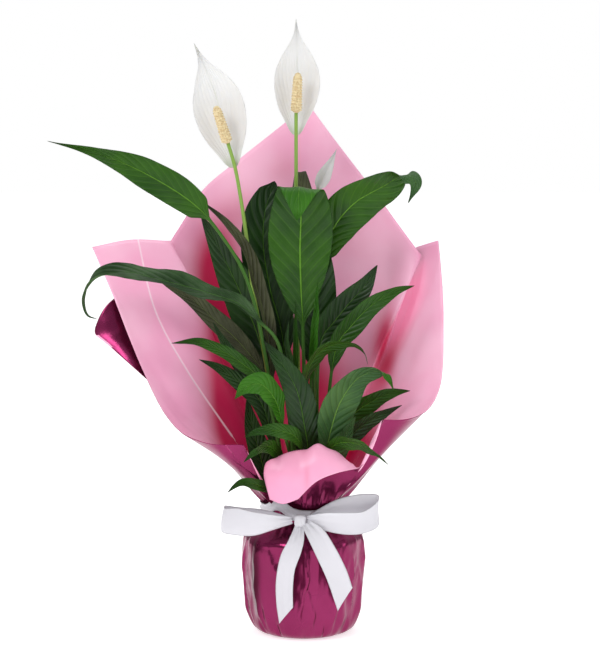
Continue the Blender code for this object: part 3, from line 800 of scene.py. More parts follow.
# painted light: the inside glows faintly in its own pink; deep and pale are its painted shade
# and painted crease highlight
FILM_INSIDE = FilmFinish("film_pink", (0.83, 0.34, 0.53), 0.36, cloud_and_reflection=(0.92, 0.50, 0.66),
                         scale=16.0, relief=0.15 * MM, fine=0.05, specular=0.5, glow=0.17)
# deep is painted shade in the outside's folds, such as the dark fold on the pot's left
FILM_OUTSIDE = FilmFinish("film_magenta", (0.205, 0.014, 0.072), 0.24, 0.82,
                          cloud_and_reflection=(0.29, 0.026, 0.11), deep=(0.045, 0.002, 0.012), scale=38.0,
                          relief=0.8 * MM, fine=0.2, pale=(0.4, 0.05, 0.16))
SATIN = SatinFinish("satin_white", (0.72, 0.71, 0.76), 0.33, sheen=0.2, anisotropic=0.5)
BRACT = BractFinish("bract_white", (0.80, 0.80, 0.79), 0.5, subsurface=0.2)
SPIKE = SpeckledFinish("spike_cream", (0.84, 0.70, 0.42), 0.6, speck=(0.70, 0.52, 0.27),
                       scale=420.0, relief=0.3 * MM)
STEM = Finish("stem_green", (0.22, 0.38, 0.05), 0.42, coat=0.1)
MIX = SpeckledFinish("potting_mix", (0.02, 0.012, 0.008), 0.95, speck=(0.09, 0.055, 0.03))
POT = Finish("pot_black", (0.02, 0.02, 0.02), 0.5)
GROUND = Finish("studio_floor", (0.92, 0.92, 0.92), 0.7, glow=0.62)


# ---------------------------------------------------------------- wrapper

@dataclass(frozen=True)
class Rib:
    """A line of the film from the tie out to the sheet's edge.

    azimuth is its angle round the neck in degrees, 0 to the right and 90 to the back. places
    are in millimetres. corner says that the sheet turns or folds sharply along the line's end.
    """

    azimuth: float
    places: tuple[Place, ...]
    corner: bool = False


RIBS = (
    # right flap, from the right dip beside the tongue to the sheet's right corner
    Rib(303, ((42, -46, 158), (59, -62, 184))),
    Rib(309, ((50, -50, 165), (78, -84, 233)), True),
    Rib(316, ((62, -56, 175), (102, -76, 232))),
    Rib(323, ((70, -52, 180), (119, -60, 235))),
    Rib(332, ((84, -44, 194), (131, -38, 243))),
    Rib(341, ((92, -30, 206), (139, -17, 258))),
    Rib(350, ((97, -12, 222), (142, -2, 276))),
    Rib(359, ((98, 8, 232), (144, 20, 304))),
    Rib(8, ((96, 28, 240), (144, 40, 345))),
    Rib(18, ((92, 46, 260), (132, 54, 350), (140, 60, 398)), True),
    Rib(26, ((74, 62, 240), (110, 88, 325), (119, 92, 388)), True),
    # pleat where the back panel folds over the right flap
    Rib(32, ((62, 62, 225), (92, 86, 300), (104, 98, 350))),
    Rib(37, ((69, 46, 260), (100, 58, 330), (123, 72, 381)), True),
    # back panel, over the sheet's back corner
    Rib(46, ((64, 58, 255), (88, 78, 330), (99, 84, 413))),
    Rib(57, ((52, 68, 250), (70, 84, 350), (76, 95, 444))),
    Rib(69, ((36, 72, 250), (48, 88, 365), (52, 104, 475))),
    Rib(83, ((18, 74, 260), (26, 94, 390), (28, 112, 506))),
    Rib(97, ((0, 74, 260), (4, 96, 400), (5, 120, 537)), True),
    Rib(110, ((-20, 72, 250), (-30, 92, 380), (-32, 113, 508))),
    Rib(124, ((-42, 70, 240), (-62, 88, 355), (-69, 107, 479))),
    Rib(137, ((-56, 66, 235), (-88, 82, 340), (-105, 100, 449))),
    Rib(147, ((-64, 60, 230), (-104, 72, 330), (-124, 84, 420))),
    # pleat where the left flap folds over the back panel
    Rib(154, ((-66, 44, 225), (-110, 60, 325), (-139, 68, 397)), True),
    Rib(161, ((-54, 14, 200), (-84, 16, 275), (-118, 32, 360), (-141, 44, 399)), True),
    # left flap, round the sheet's left corner
    Rib(169, ((-76, -2, 210), (-120, 6, 300), (-178, 26, 402))),
    Rib(177, ((-90, -18, 212), (-146, -8, 300), (-216, 10, 396)), True),
    Rib(185, ((-94, -28, 208), (-142, -22, 274), (-197, -4, 354))),
    Rib(192, ((-96, -36, 204), (-138, -34, 254), (-178, -24, 310))),
    Rib(199, ((-92, -44, 196), (-128, -48, 232), (-158, -44, 268))),
    Rib(206, ((-84, -52, 188), (-138, -62, 234))),
    Rib(216, ((-76, -60, 182), (-119, -77, 217))),
    Rib(227, ((-58, -66, 178), (-91, -90, 210))),
    Rib(234, ((-44, -56, 168), (-60, -84, 208)), True),
    # left dip and the front corner, which folds forward as a tongue
    Rib(239, ((-26, -38, 143), (-33, -44, 148))),
    Rib(245, ((-20, -41, 143), (-25, -47, 148))),
    Rib(251, ((-24, -48, 152), (-37, -58, 186), (-40, -64, 176), (-34, -64, 149)), True),
    Rib(260, ((-14, -50, 160), (-19, -60, 195), (-23, -71, 180), (-21, -71, 146))),
    Rib(270, ((-3, -47, 165), (-4, -57, 198), (-5, -71, 182), (-6, -73, 151)), True),
    Rib(281, ((8, -51, 168), (14, -60, 205), (16, -72, 194), (13, -77, 170))),
    Rib(290, ((22, -48, 162), (32, -60, 197), (36, -70, 190), (33, -75, 178))),
    Rib(297, ((34, -45, 156), (48, -58, 184), (51, -71, 181)), True),
)


FILM_ROUND_POT = 62              # the film's mean radius on the pot's side, in millimetres
STEEP_SIDE = 0.22                # how wide a tuck's steep side is, as a share of the tuck


@dataclass(frozen=True)
class Tuck:
    """A fold of spare film laid flat on the pot's side.

    azimuth is where it lies in degrees, low and high the heights between which it shows,
    width its width and rise how far it stands out, all in millimetres. lean is the angle in
    degrees that it wanders from its foot to its head.
    """

    azimuth: float
    low: float
    high: float
    width: float
    rise: float
    lean: float = 0.0

    def push(self, azimuth: float, height: float) -> float:
        """How far the tuck moves the film outwards.

        Args:
            azimuth: The angle round the pot in degrees.
            height: The height in metres.

        Returns:
            The push in metres, which falls off steeply on one side.
        """
        share = (height / MM - self.low) / (self.high - self.low)
        if not 0 < share < 1:
            return 0.0
        kink = 1.6 * math.sin(share * 9 + self.azimuth) + 0.8 * math.sin(share * 23)
        offset = (azimuth - self.azimuth - self.lean * share - kink + 180) % 360 - 180
        across = math.radians(offset) * FILM_ROUND_POT / self.width
        if not -1 < across < STEEP_SIDE:
            return 0.0
        profile = (1 + across) ** 1.5 if across < 0 else 1 - across / STEEP_SIDE
        fade = min(1.0, 5 * share, 4 * (1 - share))
        return profile * fade * self.rise * MM


TUCKS = (
    Tuck(221, 3, 106, 14, 3.4, -2), Tuck(250, 2, 96, 15, 2.6, 6), Tuck(266, 8, 100, 10, 4.0, 9),
    Tuck(281, 4, 74, 12, 3.4, -9), Tuck(300, 0, 104, 14, 1.9, 5), Tuck(328, 28, 88, 8, 2.4, -6),
    Tuck(345, 3, 100, 13, 2.6, 4), Tuck(14, 2, 104, 16, 2.8, -5), Tuck(43, 2, 96, 13, 2.4, 6),
    Tuck(76, 2, 106, 17, 3.0, -4), Tuck(101, 14, 90, 10, 2.2, 7), Tuck(128, 2, 104, 15, 3.0, 3),
    Tuck(160, 2, 98, 14, 2.6, -7), Tuck(188, 6, 106, 13, 2.4, 5),
)


@dataclass(frozen=True)
class ShadeSpot:
    """A spot of painted shade: a hollow of the film coloured crimson and darker, where light
    would bounce from fold to fold.
    """

    place: Place
    reach: Place
    strength: float


# painted shade: the crimson hollows among the flaps and the dark fold low on the pot's left side
SHADE_SPOTS = (
    ShadeSpot((-92, 72, 372), (24, 40, 52), 1.0), ShadeSpot((-72, 50, 300), (34, 60, 60), 1.0),
    ShadeSpot((-50, 20, 258), (40, 50, 62), 1.0), ShadeSpot((-66, -6, 222), (26, 44, 44), 0.7),
    ShadeSpot((-10, 60, 250), (60, 40, 60), 0.9), ShadeSpot((84, 58, 290), (13, 26, 52), 0.8),
    ShadeSpot((30, 20, 190), (60, 60, 44), 0.9), ShadeSpot((-30, 10, 190), (60, 60, 44), 0.9),
    ShadeSpot((-62, 92, 430), (26, 30, 26), 0.3), ShadeSpot((-20, 96, 470), (22, 30, 26), 0.3),
    ShadeSpot((3, -67, 172), (3, 14, 16), 0.2), ShadeSpot((-50, -41, 62), (6, 14, 60), 0.8),
    ShadeSpot((-30, -54, 108), (26, 16, 7), 0.6), ShadeSpot((50, 70, 392), (26, 30, 20), 0.25),
)
FILM_NODES = (
    "film_pot_cover", "film_right_flap_front", "film_right_flap_back", "film_right_pleat_front",
    "film_right_pleat_middle", "film_right_pleat_back", "film_back_panel_right",
    "film_back_panel_left", "film_left_pleat", "film_left_flap_back", "film_left_flap_front",
    "film_front_tongue",
)
# the long crease that runs down the left flap, dented and drawn with a painted highlight
CREASE = ((-171, 28, 404), (-152, 5, 332), (-121, -20, 274), (-72, -50, 200))
# the free rim of the film that curls out behind the left flap, and the line where it is hidden
ROLL_RIM = ((-190, 6, 347), (-202, 3, 336), (-210, 1, 322), (-213, 0, 309), (-202, -6, 300),
            (-184, -16, 286), (-157, -30, 264))
ROLL_ROOT = ((-184, 12, 344), (-172, 6, 316), (-160, -4, 292), (-146, -18, 262))
EDGE_CALM = 0.4                  # the share of the film's waves that its edge keeps


@dataclass
class Wrapper:
    """The sheet of film: under the pot, up its side, in to the tie and out in flaps."""

    pot_rim: float = 60 * MM
    pot_base: float = 43 * MM
    pot_height: float = 97 * MM
    neck: float = 41 * MM
    neck_height: float = 128 * MM
    collar_rise: float = 8 * MM
    slack: float = 3 * MM
    film: float = 0.35 * MM
    flat_side: float = 555 * MM
    columns_per_rib: int = 9
    cover_rows: int = 52
    flare_rows: int = 56
    gathers: int = 26
    gather_depth: float = 1.9 * MM
    crumple: float = 2.4 * MM
    dent: float = 1.6 * MM
    pucker: float = 2.4 * MM
    base_share: float = 0.12
    pot_clearance: float = 0.8 * MM
    wave: float = 3.2 * MM
    buckle: float = 0.9 * MM
    profile: Route = field(init=False)

    def __post_init__(self) -> None:
        """Makes the film's outline on the pot."""
        self.profile = self.cover_profile()

    def cover_profile(self) -> Route:
        """The film's outline on the pot, as (radius, 0, height) from the base's edge up.

        Returns:
            The outline.
        """
        base, rim, neck = self.pot_base, self.pot_rim, self.neck
        return Route([
            Vector((base + 1 * MM, 0, 0)),
            Vector((base + 9 * MM, 0, 5 * MM)),
            Vector((base + 15 * MM, 0, 20 * MM)),
            Vector((rim + 1.2 * MM, 0, 52 * MM)),
            Vector((rim + self.slack, 0, 91 * MM)),
            Vector((rim + 1.5 * MM, 0, 101 * MM)),
            Vector((neck + 9 * MM, 0, 113 * MM)),
            Vector((neck + 1 * MM, 0, 121 * MM)),
            Vector((neck, 0, self.neck_height)),
        ])

    def gather(self, azimuth: float, fade: float) -> float:
        """How far the gathers at the tie push the film in or out.

        Args:
            azimuth: The angle round the neck in radians.
            fade: 1 where the gathers are full, 0 where they have died out.

        Returns:
            The push in metres.
        """
        folds = 0.0
        for index in range(self.gathers):
            swing = 0.35 * math.sin(index * 2.4)
            centre = math.tau * (index + swing) / self.gathers
            offset = abs((azimuth - centre + math.pi) % math.tau - math.pi)
            half = math.tau / self.gathers * (0.42 + 0.16 * math.sin(index * 1.7))
            folds += max(0.0, 1 - offset / half) * (0.75 + 0.25 * math.cos(index * 3.1))
        return (folds - 0.4) * self.gather_depth * fade

    def cover_push(self, azimuth: float, height: float) -> float:
        """How far the tucks, dents and crumples on the pot stand out.

        Args:
            azimuth: The angle round the pot in radians.
            height: The height in metres.

        Returns:
            The push outwards in metres.
        """
        degrees = math.degrees(azimuth)
        tucks = sum(tuck.push(degrees, height) for tuck in TUCKS)
        rise = smoothstep(0.004, 0.02, height)
        wide = noise.noise(on_circle(1.6, azimuth, height * 12)) * self.dent
        ridges = noise.ridged_multi_fractal(
            on_circle(2.1, azimuth, height * 15 + 7), 0.9, 2.1, 3, 0.9, 2.0)
        corner = math.exp(-((height - 0.008) / 0.010) ** 2)
        puckers = max(0.0, math.sin(15 * azimuth + 2 * wide / MM)) ** 3 * corner
        return tucks + (wide + (ridges - 1.2) * self.crumple) * rise - puckers * self.pucker

    def cover_point(self, azimuth: float, share: float) -> Vector:
        """A point of the film that covers the pot.

        Args:
            azimuth: The angle round the pot in radians.
            share: 0 at the centre of the base, 1 at the tie.

        Returns:
            The point.
        """
        if share <= self.base_share:
            return on_circle((self.pot_base + 1 * MM) * share / self.base_share, azimuth)
        outline = self.profile.at((share - self.base_share) / (1 - self.base_share))
        fade = smoothstep(100 * MM, 120 * MM, outline.z)
        push = self.cover_push(azimuth, outline.z) * (1 - fade)
        radius = outline.x + push + self.gather(azimuth, 0.75 * fade)
        wall = min(1.0, outline.z / self.pot_height)
        if 8 * MM < outline.z < 100 * MM:
            least = self.pot_base + (self.pot_rim - self.pot_base) * wall
            radius = max(radius, least + self.pot_clearance)
        return on_circle(radius, azimuth, outline.z)

    def flare_line(self, rib: Rib) -> Route:
        """The smooth line of one rib from the tie's upper edge to the sheet's edge.

        Args:
            rib: The rib.

        Returns:
            Its line.
        """
        start = on_circle(self.neck, math.radians(rib.azimuth),
                          self.neck_height + self.collar_rise)
        return Route([start, *vectors(rib.places)])

    def flare_point(self, levels: list[Vector], column: int, out: float) -> Vector:
        """A point between two ribs at one level.

        Args:
            levels: Where each rib passes the level.
            column: The column of the sheet.
            out: The level's share of the way from the tie to the sheet's edge.

        Returns:
            The point, on a curve that keeps the corners of the sheet sharp.
        """
        count = len(RIBS)
        index, step = divmod(column, self.columns_per_rib)
        before, start, end, after = (levels[(index + offset) % count]
                                     for offset in (-1, 0, 1, 2))
        sharp = smoothstep(0.3, 0.95, out)
        if RIBS[index].corner:
            before = before.lerp(2 * start - end, sharp)
        if RIBS[(index + 1) % count].corner:
            after = after.lerp(2 * end - start, sharp)
        return curve_point((before, start, end, after), step / self.columns_per_rib)

    def build(self) -> bpy.types.Object:
        """Builds the sheet as one surface and gives it its thickness.

        Returns:
            The film piece.
        """
        lines = [self.flare_line(rib) for rib in RIBS]
        count = len(lines)
        columns = count * self.columns_per_rib
        rows = self.cover_rows + self.flare_rows + 1
        levels = [[line.at(row / self.flare_rows) for line in lines]
                  for row in range(self.flare_rows + 1)]

        def angle(column: int) -> float:
            """The angle of a column round the pot, in radians."""
            index, step = divmod(column, self.columns_per_rib)
            first = RIBS[index].azimuth
            turn = (RIBS[(index + 1) % count].azimuth - first) % 360
            return math.radians(first + turn * step / self.columns_per_rib)

        def place(column: int, row: int) -> Vector:
            """The place of a corner, on the pot or on the flare."""
            if row <= self.cover_rows:
                return self.cover_point(angle(column), row / self.cover_rows)
            level = row - self.cover_rows - 1
            return self.flare_point(levels[level], column, level / self.flare_rows)

        bm = lattice(columns, rows, place, True, plain_chart)
        mid_height = 70 * MM
        side = min(bm.faces, key=lambda face: abs(face.calc_center_median().z - mid_height))
        middle = side.calc_center_median()
        if side.normal.dot(Vector((middle.x, middle.y, 0))) < 0:
            bmesh.ops.reverse_faces(bm, faces=bm.faces)
        self.crease(bm)
        self.add_roll(bm)
        self.mark(bm)
        film = add_piece("wrapper_film", bm, [FILM_OUTSIDE.material(), FILM_INSIDE.material()],
                         list(FILM_NODES))
        shell = film.modifiers.new("film", "SOLIDIFY")
        shell.thickness = self.film
        shell.offset = -1
        shell.material_offset = 1
        return film

    def crease(self, bm: bmesh.types.BMesh) -> None:
        """Pushes the flared film along its normals into gathers, buckles and soft waves.

        The tongue in front stays almost smooth.

        Args:
            bm: The film's surface.
        """
        bm.normal_update()
        moves = []
        for vertex in bm.verts:
            above = vertex.co.z - self.neck_height - 3 * MM
            if above < 0 or Vector((vertex.co.x, vertex.co.y)).length < self.neck - 6 * MM:
                continue
            azimuth = math.atan2(vertex.co.y, vertex.co.x)
            tongue = (smoothstep(40 * MM, 52 * MM, -vertex.co.y)
                      * smoothstep(58 * MM, 46 * MM, abs(vertex.co.x))
                      * smoothstep(215 * MM, 205 * MM, vertex.co.z))
            fade = smoothstep(0, 12 * MM, above) * 2.0 * math.exp(-above / (45 * MM))
            push = self.gather(azimuth, 0.75 + fade) * (1 - smoothstep(20 * MM, 130 * MM, above))
            push *= 1 - 0.9 * tongue
            soft = noise.noise(vertex.co * 10.0) * self.wave
            ridges = noise.ridged_multi_fractal(vertex.co * 13.0, 1.0, 2.2, 2, 0.9, 1.6) - 1.1
            soft = (soft + ridges * self.buckle) * smoothstep(10 * MM, 90 * MM, above)
            soft *= 1 - 0.95 * tongue
            if vertex.is_boundary:
                soft *= EDGE_CALM
            moves.append((vertex, vertex.normal * (push + soft)))
        for vertex, move in moves:
            vertex.co += move

    def add_roll(self, bm: bmesh.types.BMesh) -> None:
        """Adds the spare film that curls out behind the left flap.

        Args:
            bm: The film's surface.
        """
        rim, hidden = Route(vectors(ROLL_RIM)), Route(vectors(ROLL_ROOT))
        columns, rows, turned_columns = 22, 48, 6
        spread_columns = columns - turned_columns

        def place(column: int, row: int) -> Vector:
            """The place of a corner, over from the hidden line to the rim and round it."""
            share = row / rows
            over = min(1.0, column / spread_columns)
            edge, inner = rim.at(share), hidden.at(share)
            bulge = math.sin(math.pi * over) * 6 * MM * math.sin(math.pi * share)
            curl = max(0, column - spread_columns) / turned_columns
            fat = 3.5 * MM * math.sin(math.pi * share) ** 0.6
            turned = Vector((-0.18 * math.sin(math.pi * curl), 1 - math.cos(math.pi * curl),
                             -0.18 * math.sin(math.pi * curl))) * fat
            return inner.lerp(edge, over) + Vector((0, -bulge, 0)) + turned

        patch = lattice(columns, rows, place, False, plain_chart)
        patch.normal_update()
        middle = min(patch.faces, key=lambda face: face.calc_center_median().y)
        if middle.normal.y > 0:
            bmesh.ops.reverse_faces(patch, faces=patch.faces)
        layer = patch.loops.layers.uv.active
        for face in patch.faces:
            across = sum(loop[layer].uv.x for loop in face.loops) / len(face.loops)
            along = sum(loop[layer].uv.y for loop in face.loops) / len(face.loops)
            if across > 0.80 - 0.14 * smoothstep(0.75, 0.45, along) and along > 0.4:
                face.material_index = 1
        mesh = bpy.data.meshes.new("roll")
        patch.to_mesh(mesh)
        patch.free()
        bm.from_mesh(mesh)
        bpy.data.meshes.remove(mesh)

    def mark(self, bm: bmesh.types.BMesh) -> None:
        """Writes how much painted crimson shade each place gets and how far it lies from the
        long crease, whose line is drawn with a painted highlight.

        Args:
            bm: The film's surface.
        """
        painted_shade = bm.verts.layers.float.new("painted_shade")
        crease = bm.verts.layers.float.new("crease")
        flank = [Vector((place.x, place.z)) for place in Route(vectors(CREASE)).points]
        for vertex in bm.verts:
            # painted shade: every spot adds crimson darkening around its place
            total = 0.0
            for glow in SHADE_SPOTS:
                gap = [(value / MM - middle) / reach for value, middle, reach
                       in zip(vertex.co, glow.place, glow.reach)]
                total += glow.strength * math.exp(-sum(part * part for part in gap))
            vertex[painted_shade] = min(1.0, total)
            vertex[crease] = side_of(Vector((vertex.co.x, vertex.co.z)), flank)


def side_of(place: Vector, flank: Sequence[Vector]) -> float:
    """How far a place lies to one side of a line on the flat.

    Args:
        place: The place.
        flank: The line's points, 10 mm or less apart.

    Returns:
        The distance in metres, negative on the line's other side.
    """
    best, signed = 1.0, 1.0
    for start, end in zip(flank, flank[1:]):
        run = end - start
        share = min(max((place - start).dot(run) / run.length_squared, 0.0), 1.0)
        gap = (place - (start + run * share)).length
        if gap < best:
            best = gap
            signed = gap if run.x * (place.y - start.y) > run.y * (place.x - start.x) else -gap
    return signed


# ---------------------------------------------------------------- leaves

def read_outline(outline: Outline, share: float) -> float:
    """Reads an outline at a share of its length.

    Args:
        outline: Pairs of the share of the length and the share of the full width.
        share: Where to read it.

    Returns:
        The share of the full width there, on a smooth curve through the pairs.
    """
    share = min(max(share, outline[0][0]), outline[-1][0])
    index = max(1, bisect_right([place for place, _ in outline], share))
    index = min(index, len(outline) - 1)
    four = [Vector((*outline[min(max(place, 0), len(outline) - 1)], 0))
            for place in range(index - 2, index + 2)]
    low, high = outline[index - 1][0], outline[index][0]
    return max(0.0, curve_point(four, (share - low) / (high - low)).y)


STALK_ROW = 9 * MM               # the length of a row of quads on a leaf's stalk
BLADE_ROW = 2 * MM               # the length of a row of quads on its blade


@dataclass(frozen=True)
class Leaf:
    """A leaf on its own stalk, from the crown to its tip.

    root is its place on the soil and places those that its midrib passes, in millimetres. side
    points across the blade, and side_tip does so at its tip. stalk is the share of the length
    that is stalk, fold the rise of each half of the blade in degrees, wave the height of the
    margin's waves in millimetres, and curl how far the margins turn back. outline gives shares
    of the full width along the blade where it isn't a plain oval.
    """

    name: str
    root: tuple[float, float]
    places: tuple[Place, ...]
    width: float
    side: Place
    stalk: float
    fold: float = 14
    side_tip: Place | None = None
    widest: float = 0.42
    face: Tone = Tone.MID
    back: Tone = Tone.PALE
    wave: float = 1.2
    curl: float = 0.1
    outline: Outline = ()

    stalk_radius: float = 1.8 * MM
    half_columns: int = 14

    def route(self) -> Route:
        """The midrib's line, which starts upright on the soil."""
        return Route([*stalk_start(self.root), *vectors(self.places)])

    def half_width(self, share: float) -> float:
        """Half the blade's width at a share of its length.

        Args:
            share: Where to read it, from 0 at the stalk to 1 at the tip.

        Returns:
            The half width in metres.
        """
        if self.outline:
            return self.width * MM / 2 * read_outline(self.outline, share)
        power = math.log(0.5) / math.log(self.widest)
        swell = math.sin(math.pi * min(1.0, max(0.0, share)) ** power) ** 0.9
        return self.width * MM / 2 * swell

    def build(self) -> bpy.types.Object:
        """Builds the stalk and blade as one closed surface.

        Returns:
            The leaf.
        """
        route = self.route()
        blade_length = route.length * (1 - self.stalk)
        stalk_rows = max(8, round(route.length * self.stalk / STALK_ROW))
        blade_rows = max(26, round(blade_length / BLADE_ROW))
        rows = stalk_rows + blade_rows
        side = Vector(self.side).normalized()
        side_tip = Vector(self.side_tip or self.side).normalized()
        phase = sum(map(ord, self.name))
        stations: list[Station] = []
        for row in range(rows + 1):
            on_blade = (row - stalk_rows) / blade_rows
            share = (self.stalk + (1 - self.stalk) * on_blade if on_blade >= 0
                     else self.stalk * row / stalk_rows)
            centre, heading = route.at(share), route.heading(share)
            turned = side.lerp(side_tip, smoothstep(0, 1, on_blade))
            stations.append((on_blade, centre, *across_and_out(heading, turned)))

        def place(column: int, row: int) -> Vector:
            """The place of a corner, on the section at its row."""
            on_blade, centre, across, out = stations[row]
            if row == rows:
                return centre
            x, y = self.section(column, on_blade, phase)
            return centre + across * x + out * y

        def chart(across: float, along: float) -> tuple[float, float]:
            """The UV of a corner, whose V is 0 where the blade starts."""
            return across_section(across), (along * rows - stalk_rows) / blade_rows

        bm = lattice(2 * self.half_columns, rows, place, True, chart)
        close_ends(bm)
        self.split_faces(bm, stations)
        piece = add_piece(f"{self.name}_blade", bm,
                          [BLADES[self.face].material(), BLADES[self.back].material()],
                          [self.name])
        subdivide(piece)
        return piece

    def split_faces(self, bm: bmesh.types.BMesh, stations: Sequence[Station]) -> None:
        """Gives the faces on the underside the back's finish.

        Args:
            bm: The leaf's mesh.
            stations: The blade share, centre, across and out vectors of each row.
        """
        layer = bm.loops.layers.uv.active
        blade = [station for station in stations if station[0] >= 0]
        last = len(blade) - 1
        for face in bm.faces:
            along = sum(loop[layer].uv.y for loop in face.loops) / len(face.loops)
            station = blade[min(last, max(0, round(along * last)))]
            if face.normal.dot(station[3]) < 0:
                face.material_index = 1

    def section(self, column: int, on_blade: float, phase: float) -> tuple[float, float]:
        """A corner of the leaf's cross-section.

        Args:
            column: 0 at the left margin, then over the face to the right margin and back.
            on_blade: The share of the blade's length, below 0 on the stalk.
            phase: A number that makes each leaf's waves its own.

        Returns:
            The distances across and out, in metres.
        """
        turn = math.pi * (1 - column / self.half_columns)
        round_x = self.stalk_radius * math.cos(turn)
        round_y = self.stalk_radius * math.sin(turn)
        blade = smoothstep(-0.03, 0.1, on_blade)
        if blade <= 0:
            return round_x, round_y
        upper, u = around_section(column, self.half_columns)
        u = math.copysign(abs(u) ** 0.85, u)
        half = max(self.half_width(on_blade), 0.3 * MM)
        angle = math.radians(self.fold)
        x = u * half * math.cos(angle)
        soft = 1.2 * MM
        y = (math.hypot(x, soft) - soft) * math.tan(angle)
        y -= self.curl * half * abs(u) ** 2.6
        taper = smoothstep(0, 0.2, on_blade) * (1 - smoothstep(0.75, 1, on_blade))
        beat = math.sin(on_blade * 21 + phase + (1.3 if u > 0 else 0))
        y += self.wave * MM * taper * u * u * beat
        swept = on_blade - 0.16 * abs(u) ** 0.8
        y += 0.22 * MM * taper * min(1.0, 3 * abs(u)) * math.cos(math.tau * 15 * swept)
        thick = 0.16 * MM * (1 - abs(u) ** 6)
        if upper:
            y += thick - 0.35 * MM * math.exp(-(x / (1.0 * MM)) ** 2) * taper
        else:
            rib = self.stalk_radius * (1 - on_blade) ** 0.8
            y -= thick + rib * math.exp(-(x / max(rib, 0.4 * MM)) ** 2)
        return round_x + (x - round_x) * blade, round_y + (y - round_y) * blade


